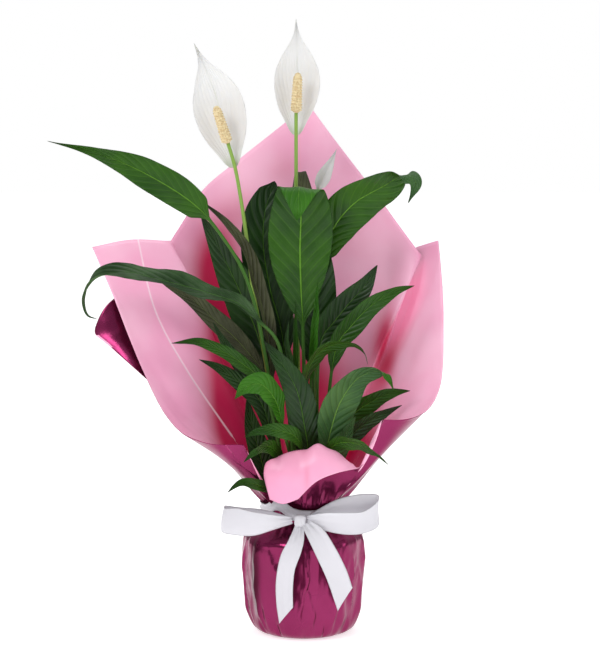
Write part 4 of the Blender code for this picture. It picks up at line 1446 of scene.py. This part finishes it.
LEAVES = (
    # behind, tall
    Leaf("leaf_back_left", (-10, 19), ((-22, 32, 300), (-35, 41, 350), (-42, 46, 395),
         (-40, 48, 430), (-30, 48, 461)), 50, (1, 0, 0.1), 0.48,
         face=Tone.DEEP,
         outline=((0, 0.05), (0.15, 0.5), (0.4, 0.9), (0.62, 1), (0.82, 0.88), (0.94, 0.55),
                  (1, 0.08))),
    Leaf("leaf_back_centre", (2, 27), ((0, 43, 300), (0, 48, 400), (-2, 47, 452),
         (-4, 53, 470), (-5, 64, 455)), 40, (1, 0, 0), 0.55, face=Tone.DUSKY,
         back=Tone.DUSKY),
    Leaf("leaf_right_behind", (11, 9), ((10, 10, 250), (12, 10, 330), (13, 10, 390),
         (8, 12, 432)), 44, (1, 0, 0.1), 0.52, 5, face=Tone.DEEP),
    Leaf("leaf_right_high", (13, 18), ((14, 25, 340), (20, 26, 382), (30, 23, 413),
         (51, 15, 440), (80, 6, 458), (103, 0, 470), (113, -5, 463), (105, -11, 442)),
         50, (0.62, 0.1, -0.75), 0.62, 16, (0.9, 0.1, 0.2),
         outline=((0, 0.05), (0.08, 0.5), (0.25, 0.92), (0.45, 1), (0.62, 0.86), (0.75, 0.55),
                  (0.86, 0.3), (1, 0.03))),
    Leaf("leaf_left_broad", (-17, 13), ((-44, 22, 290), (-60, 24, 335), (-74, 25, 366),
         (-90, 24, 399), (-106, 22, 429)), 42, (0.86, 0.05, 0.5), 0.45, face=Tone.DEEP),
    Leaf("leaf_left_folded", (-19, 8), ((-38, -1, 312), (-50, -1, 362), (-62, -1, 398),
         (-80, -1, 422), (-106, -1, 446)), 26, (0.6, 0.5, 0.6), 0.45, 50, face=Tone.DUSKY,
         back=Tone.DUSKY),
    Leaf("leaf_centre", (1, 2), ((-1, 2, 312), (-3, 4, 354), (-4, 5, 393), (-3, 2, 432),
         (-4, -6, 458), (-5, -17, 457), (-6, -27, 441), (-7, -31, 426)),
         70, (1, 0, -0.08), 0.54, 12, None, 0.5, face=Tone.MID, back=Tone.FRESH),
    # left side
    Leaf("leaf_left_high", (-15, -3), ((-42, -13, 302), (-60, -16, 371), (-83, -18, 410),
         (-108, -22, 440), (-159, -32, 474), (-205, -39, 494), (-255, -45, 507)),
         36, (0.35, 0.25, 0.9), 0.66, 14,
         outline=((0, 0.08), (0.02, 0.5), (0.08, 0.8), (0.27, 1), (0.45, 0.9),
                  (0.6, 0.62), (0.73, 0.32), (0.86, 0.13), (1, 0.02))),
    Leaf("leaf_left_arching", (-7, -14), ((-26, -24, 302), (-42, -29, 322), (-64, -33, 342),
         (-97, -39, 355), (-138, -45, 367), (-179, -51, 377), (-207, -56, 371),
         (-219, -60, 352), (-215, -62, 335), (-205, -62, 331)),
         30, (0.25, 0.85, 0.5), 0.5, 24, face=Tone.GREY, wave=3.2),
    Leaf("leaf_left_under", (-21, 1), ((-42, -4, 268), (-58, -7, 291), (-72, -9, 307),
         (-91, -11, 324), (-112, -13, 344), (-146, -17, 364)), 24, (0.5, 0.3, 0.8), 0.55,
         20, face=Tone.DUSKY, back=Tone.DUSKY),
    Leaf("leaf_left_narrow", (-24, -7), ((-43, -13, 241), (-59, -20, 270), (-79, -25, 300),
         (-92, -28, 324)), 18, (0.8, 0, 0.5), 0.5, 18, face=Tone.DEEP),
    Leaf("leaf_left_thin", (-12, -14), ((-42, -37, 263), (-60, -43, 282), (-82, -48, 297),
         (-106, -53, 307), (-133, -56, 306)), 16, (0.3, 0.4, 0.9), 0.55),
    Leaf("leaf_left_pointed", (-17, -10), ((-43, -26, 240), (-65, -34, 263), (-88, -40, 280),
         (-106, -43, 288)), 22, (0.5, 0.2, 0.85), 0.45, 18, face=Tone.DEEP),
    Leaf("leaf_left_bright", (-8, -21), ((-14, -41, 190), (-20, -52, 215), (-26, -63, 243),
         (-33, -70, 258), (-44, -77, 268), (-57, -82, 266), (-69, -86, 254)), 30,
         (0.15, 0.45, 0.85), 0.6, 14, face=Tone.FRESH,
         outline=((0, 0.1), (0.14, 0.7), (0.36, 1), (0.6, 0.95), (0.8, 0.62), (0.92, 0.25),
                  (1, 0.03))),
    Leaf("leaf_left_low_dark", (-25, -12), ((-46, -16, 190), (-54, -16, 220),
         (-58, -17, 246)), 24, (0.9, 0.2, 0.3), 0.35, face=Tone.DEEP),
    Leaf("leaf_left_rim_upper", (-2, -27), ((-2, -42, 185), (-5, -54, 207), (-18, -67, 218),
         (-42, -76, 221), (-60, -80, 215)), 18, (0.2, 0.5, 0.8), 0.55, 16),
    Leaf("leaf_left_rim_lower", (-9, -27), ((-22, -39, 180), (-29, -55, 197),
         (-37, -74, 205), (-48, -92, 203), (-60, -98, 193)), 16, (0.3, 0.3, 0.85), 0.5, 16),
    Leaf("leaf_outside_left", (-18, -16), ((-20, -25, 134), (-24, -35, 150),
         (-32, -46, 157), (-41, -58, 161), (-51, -69, 166), (-64, -75, 168),
         (-77, -77, 158)), 13, (0.2, 0.5, 0.85), 0.5, 14),
    # right side
    Leaf("leaf_right_mid_back", (17, 3), ((18, 1, 302), (30, 2, 319), (45, 2, 338),
         (61, 2, 356), (75, 1, 379)), 34, (0.72, 0.1, -0.7), 0.62, face=Tone.DEEP),
    Leaf("leaf_right_mid_front", (19, -6), ((33, -13, 296), (47, -15, 317), (68, -17, 339),
         (92, -19, 354), (112, -21, 360)), 26, (0.5, 0.2, -0.85), 0.58, 22),
    Leaf("leaf_right_arching", (9, -13), ((0, -30, 250), (9, -36, 286), (26, -41, 301),
         (46, -45, 304), (60, -48, 296), (64, -50, 283)), 22, (0.25, 0.75, -0.6), 0.58, 16),
    Leaf("leaf_right_low_front", (10, -21), ((27, -40, 215), (39, -47, 250), (58, -54, 273),
         (80, -61, 277), (90, -64, 259)), 40, (0.8, 0.25, -0.5), 0.42, 20,
         face=Tone.PALE, back=Tone.FRESH,
         outline=((0, 0.05), (0.1, 0.55), (0.3, 1), (0.48, 0.95), (0.68, 0.62), (0.85, 0.34),
                  (1, 0.03))),
    Leaf("leaf_right_low_back", (23, -1), ((47, -20, 223), (69, -24, 242), (91, -28, 252),
         (108, -30, 254)), 24, (0.5, 0.2, -0.85), 0.5, 18),
    Leaf("leaf_right_low_mid", (22, -12), ((36, -28, 195), (53, -36, 214), (77, -42, 231),
         (99, -46, 242)), 22, (0.5, 0.3, -0.8), 0.4, 18, face=Tone.DEEP),
    Leaf("leaf_right_small_pale", (15, -20), ((30, -38, 185), (38, -44, 201), (45, -49, 218),
         (52, -53, 232)), 22, (0.9, 0.2, -0.4), 0.45, face=Tone.PALE),
    Leaf("leaf_right_rim", (6, -27), ((20, -46, 185), (32, -58, 204), (48, -72, 208),
         (67, -88, 203), (84, -98, 190)), 18, (0.4, 0.3, -0.85), 0.52, 16),
    # middle
    Leaf("leaf_front_centre", (4, -18), ((4, -34, 195), (0, -41, 222), (-7, -44, 256),
         (-22, -43, 283), (-41, -39, 307)), 34, (1, 0.1, 0.3), 0.36, 16, face=Tone.DEEP),
    Leaf("leaf_young_rolled", (6, -6), ((8, -16, 294), (11, -17, 329), (14, -17, 364)),
         17, (1, 0.3, 0), 0.62, 58, face=Tone.FRESH, back=Tone.FRESH),
    Leaf("leaf_young_upright", (-4, -6), ((-9, -13, 289), (-9, -14, 318), (-8, -14, 346)),
         9, (1, 0.5, 0), 0.62, 40, face=Tone.MID, wave=0.2),
    Leaf("leaf_young_sheath", (-8, 3), ((-14, -4, 280), (-18, -5, 300), (-15, -5, 323)),
         9, (1, 0.4, 0), 0.7, 40, face=Tone.PALE, wave=0.2),
)


# ---------------------------------------------------------------- flowers

@dataclass(frozen=True)
class Flower:
    """A flower on its own stalk, with all its places in millimetres.

    bract is the path of the white bract's midline from the stalk to its tip, and spike the two
    ends of the cream spike in front of it, or nothing in a closed bud.
    """

    name: str
    root: tuple[float, float]
    stalk: tuple[Place, ...]
    bract: tuple[Place, ...]
    width: float
    side: Place
    cup: float
    spike: tuple[Place, ...] = ()
    outline: Outline = (
        (0, 0.14), (0.03, 0.27), (0.086, 0.42), (0.216, 0.75), (0.30, 0.9), (0.39, 0.98),
        (0.47, 1), (0.56, 0.94), (0.65, 0.76), (0.73, 0.54), (0.82, 0.24), (0.90, 0.09),
        (1, 0.015))

    stalk_radius: float = 1.9 * MM
    spike_radius: float = 4.9 * MM
    knob: float = 1.3 * MM
    knob_spirals: int = 6
    bract_thickness: float = 0.28 * MM

    def build(self) -> list[bpy.types.Object]:
        """Builds the stalk, the bract and the spike.

        Returns:
            The pieces.
        """
        pieces = [self.build_stalk(), self.build_bract()]
        if self.spike:
            pieces.append(self.build_spike())
        return pieces

    def build_stalk(self) -> bpy.types.Object:
        """The round stalk, a little thicker at its foot.

        Returns:
            The stalk.
        """
        route = Route([*stalk_start(self.root), *vectors(self.stalk)])
        columns, rows = 12, 90

        def place(column: int, row: int) -> Vector:
            """The place of a corner round the stalk."""
            share = row / rows
            across, out = across_and_out(route.heading(share), X_AXIS)
            turn = math.tau * column / columns
            radius = self.stalk_radius * (1.25 - 0.3 * share)
            return route.at(share) + (across * math.cos(turn) + out * math.sin(turn)) * radius

        bm = lattice(columns, rows, place, True, plain_chart)
        close_ends(bm)
        return add_piece(f"{self.name}_stem", bm, [STEM.material()],
                         [f"{self.name}_stalk"])

    def build_bract(self) -> bpy.types.Object:
        """The cupped white bract with its drawn-out tip.

        Returns:
            The bract.
        """
        route = Route(vectors(self.bract))
        side = Vector(self.side).normalized()
        half_columns, rows = 18, 64
        angle = math.radians(self.cup)

        def place(column: int, row: int) -> Vector:
            """The place of a corner on the bract's two faces."""
            share = row / rows
            across, out = across_and_out(route.heading(share), side)
            if row == rows:
                return route.at(share)
            upper, u = around_section(column, half_columns)
            half = self.width * MM / 2 * read_outline(self.outline, share)
            bend = angle * abs(u) ** 0.8
            x = u * half * math.cos(bend * 0.8)
            y = half * abs(u) ** 1.5 * math.sin(bend)
            y += 0.8 * MM * u * u * math.sin(9 * share + (2 if u > 0 else 0))
            y += self.bract_thickness / 2 * (1 - abs(u) ** 6) * (1 if upper else -1)
            return route.at(share) + across * x + out * y

        def chart(across: float, along: float) -> tuple[float, float]:
            """The UV of a corner, the same on both faces."""
            return across_section(across), along

        bm = lattice(2 * half_columns, rows, place, True, chart)
        close_ends(bm)
        piece = add_piece(f"{self.name}_bract", bm, [BRACT.material()],
                          [f"{self.name}_spathe"])
        subdivide(piece)
        return piece

    def build_spike(self) -> bpy.types.Object:
        """The blunt spike, covered with small knobs in crossing spirals.

        Returns:
            The spike.
        """
        low, high = vectors(self.spike)
        heading = (high - low).normalized()
        across, out = across_and_out(heading, X_AXIS)
        columns, rows = 64, 96
        foot_end, tip_start = 0.08, 0.8

        def place(column: int, row: int) -> Vector:
            """The place of a corner on the spike, pushed out where a knob is."""
            share = row / rows
            turn = math.tau * column / columns
            body = min(1.0, share / foot_end) ** 0.5
            body *= math.sqrt(1 - max(0.0, (share - tip_start) / (1 - tip_start)) ** 2)
            body *= 1 - 0.22 * share
            first = math.cos(self.knob_spirals * turn + share * 46)
            second = math.cos(self.knob_spirals * turn - share * 46)
            knob = max(0.0, first * second) ** 0.5 * self.knob
            radius = (self.spike_radius + knob) * body
            return (low.lerp(high, share)
                    + (across * math.cos(turn) + out * math.sin(turn)) * radius)

        bm = lattice(columns, rows, place, True, plain_chart)
        close_ends(bm)
        return add_piece(f"{self.name}_spike", bm, [SPIKE.material()],
                         [f"{self.name}_spadix"])


FLOWERS = (
    Flower("flower_left", (-13, 10), ((-43, 14, 300), (-52, 15, 350), (-58, 13, 401),
           (-64, 9, 444), (-70, 5, 478), (-77, 1, 503)),
           ((-71, 8, 477), (-76, 12, 498), (-82, 15, 522), (-90, 15, 552), (-99, 12, 576),
            (-111, 6, 603)),
           57, (0.93, 0, 0.35), 24, ((-77, 0, 502), (-89, -3, 540))),
    Flower("flower_right", (-3, 18), ((-7, 26, 340), (-8, 26, 402), (-8, 24, 462),
           (-8, 20, 505), (-8, 17, 532)),
           ((-8, 25, 509), (-8, 29, 532), (-7, 32, 560), (-7, 31, 590), (-8, 26, 627)),
           51, (1, 0, -0.05), 24, ((-8, 17, 532), (-6, 14, 573))),
    Flower("flower_bud", (6, 24), ((10, 33, 340), (12, 34, 402), (14, 34, 452)),
           ((14, 34, 452), (20, 33, 466), (27, 31, 480), (34, 29, 496)),
           19, (0.9, 0, -0.5), 46,
           outline=((0, 0.2), (0.15, 0.8), (0.32, 1), (0.55, 0.72), (0.78, 0.3), (1, 0.02))),
)


# ---------------------------------------------------------------- ribbon

@dataclass(frozen=True)
class Strip:
    """A length of ribbon between its two edges, whose places are in millimetres.

    bow is how far the ribbon's middle stands out from the straight line between its edges, and
    pinch how deep the folds are where the ribbon is gathered, both in millimetres.
    """

    name: str
    first: tuple[Place, ...]
    second: tuple[Place, ...]
    held: str
    length: float
    bow: float = 1.0
    pinch: float = 1.6
    ribbon: float = 0.3 * MM
    wide: float = 25 * MM

    def build(self) -> bpy.types.Object:
        """Builds the strip as one thin closed surface.

        Returns:
            The strip.
        """
        edges = Route(vectors(self.first)), Route(vectors(self.second))
        half_columns, rows = 20, 150
        phase = sum(map(ord, self.name))

        def place(column: int, row: int) -> Vector:
            """The place of a corner on the ribbon's two faces."""
            share = row / rows
            low, high = (edge.at(share) for edge in edges)
            heading = (edges[0].heading(share) + edges[1].heading(share)).normalized()
            _, out = across_and_out(heading, high - low)
            upper, u = around_section(column, half_columns)
            gathered = max(0.0, 1 - (high - low).length / self.wide)
            ripple = math.cos(u * 8 + phase) * gathered ** 1.5 * self.pinch * MM
            sway = 0.35 * MM * math.sin(share * 9 + phase + u)
            cupped = self.bow * MM * (1 - u * u)
            lift = self.ribbon / 2 * (1 if upper else -1) * (1 - abs(u) ** 12)
            return low.lerp(high, (u + 1) / 2) + out * (ripple + sway + cupped + lift)

        def chart(across: float, along: float) -> tuple[float, float]:
            """The UV of a corner, whose V is 1 at 100 mm."""
            return across_section(across), along * self.length / 100

        bm = lattice(2 * half_columns, rows, place, True, chart)
        close_ends(bm)
        piece = add_piece(f"{self.name}_satin", bm, [SATIN.material()], [self.name])
        return piece


STRIPS = (
    Strip("bow_loop_left",
          ((-12, -57, 122), (-30, -65, 118), (-50, -69, 113), (-70, -66, 113),
           (-82, -58, 114), (-83, -50, 116), (-70, -48, 114), (-45, -50, 113), (-15, -52, 121)),
          ((-12, -57, 130), (-30, -67, 134), (-50, -70, 138), (-67, -66, 141),
           (-79, -58, 139), (-80, -50, 140), (-66, -48, 138), (-42, -50, 136), (-15, -52, 129)),
          "folded", 150),
    Strip("bow_loop_right",
          ((2, -58, 122), (22, -66, 117), (42, -69, 114), (60, -68, 115), (74, -60, 120),
           (75, -52, 127), (60, -50, 127), (34, -52, 128), (6, -53, 124)),
          ((3, -58, 131), (22, -67, 136), (42, -70, 137), (60, -68, 138), (74, -60, 147),
           (75, -52, 151), (60, -50, 152), (34, -52, 147), (6, -53, 132)),
          "folded", 145),
    Strip("bow_tail_left",
          ((-9, -60, 122), (-16, -70, 108), (-23, -73, 95), (-28, -73, 70), (-28, -72, 46),
           (-25, -71, 23)),
          ((0, -60, 122), (0, -70, 108), (-3, -73, 96), (-9, -73, 79), (-11, -72, 60),
           (-11, -71, 40)),
          "hung", 90),
    Strip("bow_tail_right",
          ((-3, -61, 123), (3, -69, 112), (13, -72, 91), (23, -70, 68), (34, -66, 35)),
          ((8, -61, 126), (19, -68, 120), (30, -72, 104), (42, -70, 80), (49, -66, 59)),
          "hung", 86),
)


@dataclass
class Bow:
    """The satin ribbon: the band round the neck, the knot, two loops and two tails.

    Beside the knot the band is drawn up and out. bulge_azimuth is where in degrees, and bulge
    says how far round in radians, and how far out and up in metres.
    """

    neck: float = 41 * MM
    clearance: float = 2.9 * MM
    height: float = 128 * MM
    half_band: float = 6.5 * MM
    ribbon: float = 0.5 * MM
    slack: float = 0.8 * MM
    crease: float = 0.5 * MM
    bulge_azimuth: float = 236
    bulge: Place = (0.28, 3.0 * MM, 11 * MM)
    knot_place: Place = (-4, -58, 126)
    knot_size: Place = (12, 9, 13)

    def build(self) -> list[bpy.types.Object]:
        """Builds every length of the ribbon.

        Returns:
            The pieces.
        """
        return [self.build_band(), self.build_knot(), *(strip.build() for strip in STRIPS)]

    def build_band(self) -> bpy.types.Object:
        """The band, softly creased lengthways where it is pulled tight.

        Returns:
            The band.
        """
        columns, rows = 160, 20
        bulge_turn = math.radians(self.bulge_azimuth)
        reach, out, up = self.bulge

        def place(column: int, row: int) -> Vector:
            """The place of a corner on the band's two faces."""
            turn = math.tau * column / columns
            share = row / rows * 2
            upper = share <= 1
            v = (share if upper else 2 - share) * 2 - 1
            crease = self.crease * math.cos(v * 7 + 0.8 * math.sin(3 * turn))
            lift = self.ribbon / 2 * (1 if upper else -1) * (1 - abs(v) ** 10)
            near = math.exp(-((turn - bulge_turn) / reach) ** 2)
            radius = self.neck + self.clearance + self.slack + crease + lift + out * near
            rise = 0.8 * MM * math.sin(2 * turn + 1) + up * near
            return on_circle(radius, turn, self.height + v * self.half_band + rise)

        bm = lattice(columns, rows, place, True, lambda u, v: (v * 2 % 1, u * 2.8))
        close_ends(bm)
        return add_piece("ribbon_band_satin", bm, [SATIN.material()], ["ribbon_band"])

    def build_knot(self) -> bpy.types.Object:
        """The knot: a small pillow of ribbon with folds drawn in at its sides.

        Returns:
            The knot.
        """
        bm = bmesh.new()
        bmesh.ops.create_uvsphere(bm, u_segments=48, v_segments=32, radius=1.0,
                                  calc_uvs=True)
        size = Vector(self.knot_size) * MM / 2
        for vertex in bm.verts:
            x, y, z = vertex.co
            square = 1 / (abs(x) ** 3 + abs(y) ** 3 + abs(z) ** 3) ** (1 / 3)
            fold = 1 + 0.07 * math.cos(x * 9 + z * 1.5) * (1 - abs(z) ** 2)
            pinch = 1 - 0.12 * math.cos(z * 2.2)
            vertex.co = Vector((x * square * size.x * (1.06 - 0.1 * (1 - abs(z))),
                                y * square * size.y * fold * (1.1 - 0.1 * pinch),
                                z * square * size.z))
        bmesh.ops.translate(bm, vec=Vector(self.knot_place) * MM, verts=bm.verts)
        piece = add_piece("bow_knot_satin", bm, [SATIN.material()], ["bow_knot"])
        subdivide(piece)
        return piece


# ---------------------------------------------------------------- pot and studio

@dataclass
class PotAndSoil:
    """The grower's pot, which keeps its solid, and the loose surface of the potting mix."""

    taper: float = 14 * MM
    clearance: float = 2 * MM
    brim: float = 4 * MM
    surface_drop: float = 2.5 * MM
    grain: float = 2.2 * MM

    def build(self) -> bpy.types.Object:
        """Dresses the pot and builds the potting mix.

        Returns:
            The potting mix.
        """
        pot = bpy.data.objects["grower_pot"]
        pot.data.materials.clear()
        pot.data.materials.append(POT.material())
        low, high = (Vector(corner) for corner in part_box("potting_soil"))
        radius = (high.x - low.x) / 2
        foot_radius, top_radius = radius - self.taper, radius - self.clearance
        columns, rows = 96, 60
        foot_share, side_share = 0.2, 0.3
        top_start = foot_share + side_share

        def place(column: int, row: int) -> Vector:
            """The place of a corner on the mix's foot, side or top."""
            turn = math.tau * column / columns
            share = row / rows
            if share <= foot_share:
                return on_circle(foot_radius * share / foot_share, turn, low.z)
            if share <= top_start:
                rise = (share - foot_share) / side_share
                return on_circle(foot_radius + (top_radius - foot_radius) * rise, turn,
                                 low.z + (high.z - self.brim - low.z) * rise)
            spot = on_circle(top_radius * (1 - share) / (1 - top_start), turn)
            lump = noise.noise(spot * 150) + 0.6 * noise.noise(spot * 330)
            spot.z = high.z - self.surface_drop + self.grain * lump
            return spot

        bm = lattice(columns, rows, place, True, plain_chart)
        close_ends(bm)
        return add_piece("potting_mix", bm, [MIX.material()], ["potting_soil"])


@dataclass
class Studio:
    """A plain pale floor, soft lights, pale surroundings and the camera."""

    target: Place = (-0.004, 0.0, 0.312)
    camera_place: Place = (-0.004, -2.479, 0.638)
    lens: float = 133.7
    lit_place: Place = (0, 0, 0.3)
    room_light: float = 0.68
    floor_half: float = 6.0
    floor_drop: float = 0.5 * MM

    def build(self) -> None:
        """Builds the floor, the lights, the surroundings and the camera."""
        self.build_floor()
        self.add_light("key", (-1.5, -1.7, 1.7), size=0.9, power=19.0)
        self.add_light("fill", (1.9, -1.5, 1.1), size=1.2, power=9.0)
        self.add_light("top", (0.2, 0.5, 2.3), size=1.4, power=12.0)
        scene = bpy.context.scene
        scene.world = self.build_world()
        scene.view_settings.view_transform = "Standard"
        camera = bpy.data.cameras.new("camera")
        camera.lens = self.lens
        camera.sensor_width = 36.0
        camera.clip_end = 50.0
        holder = bpy.data.objects.new("camera", camera)
        holder.location = self.camera_place
        aim = Vector(self.target) - Vector(self.camera_place)
        holder.rotation_euler = aim.to_track_quat("-Z", "Y").to_euler()
        scene.collection.objects.link(holder)
        scene.camera = holder

    def build_world(self) -> bpy.types.World:
        """The surroundings: a white room, darker behind the camera and low down.

        Returns:
            The world.
        """
        world = bpy.data.worlds.new("studio")
        world.use_nodes = True
        wiring = Wiring(world.node_tree)
        sky = world.node_tree.nodes["Background"]
        parts = wiring.node("SeparateXYZ")
        wiring.join(wiring.node("TexCoord").outputs["Generated"], parts.inputs[0])
        above = wiring.ramp(parts.outputs[2], -0.1, 0.6, 0.35, 1.0)
        before = wiring.ramp(parts.outputs[1], -1.0, -0.3, 0.5, 1.0)
        room = wiring.maths("MULTIPLY", wiring.maths("MULTIPLY", above, before),
                            self.room_light)
        seen = wiring.node("LightPath").outputs["Is Camera Ray"]
        sky.inputs["Color"].default_value = (1, 1, 1, 1)
        wiring.join(wiring.maths("MAXIMUM", room, seen), sky.inputs["Strength"])
        return world

    def build_floor(self) -> None:
        """The floor: a wide flat sheet just under the object's base."""
        bm = bmesh.new()
        bmesh.ops.create_grid(bm, x_segments=2, y_segments=2, size=self.floor_half)
        bmesh.ops.translate(bm, vec=Vector((0, 0, -self.floor_drop)), verts=bm.verts)
        mesh = bpy.data.meshes.new("floor")
        bm.to_mesh(mesh)
        bm.free()
        mesh.materials.append(GROUND.material())
        floor = bpy.data.objects.new("floor", mesh)
        bpy.context.scene.collection.objects.link(floor)

    def add_light(self, name: str, place: Place, size: float, power: float) -> None:
        """Adds a square soft light that faces the object.

        Args:
            name: The light's name.
            place: Where it hangs, in metres.
            size: Its side in metres.
            power: Its power in watts.
        """
        lamp = bpy.data.lights.new(name, "AREA")
        lamp.shape = "SQUARE"
        lamp.size = size
        lamp.energy = power
        holder = bpy.data.objects.new(name, lamp)
        holder.location = place
        aim = Vector(self.lit_place) - Vector(place)
        holder.rotation_euler = aim.to_track_quat("-Z", "Y").to_euler()
        bpy.context.scene.collection.objects.link(holder)


def main() -> None:
    """Builds every piece and reports it."""
    logging.basicConfig(level=logging.INFO, format="%(name)s: %(message)s")
    LOG.info("%s", Wrapper().build().name)
    LOG.info("%s", PotAndSoil().build().name)
    for leaf in LEAVES:
        LOG.info("%s", leaf.build().name)
    for flower in FLOWERS:
        for piece in flower.build():
            LOG.info("%s", piece.name)
    for piece in Bow().build():
        LOG.info("%s", piece.name)
    Studio().build()


if __name__ == "__main__":
    main()
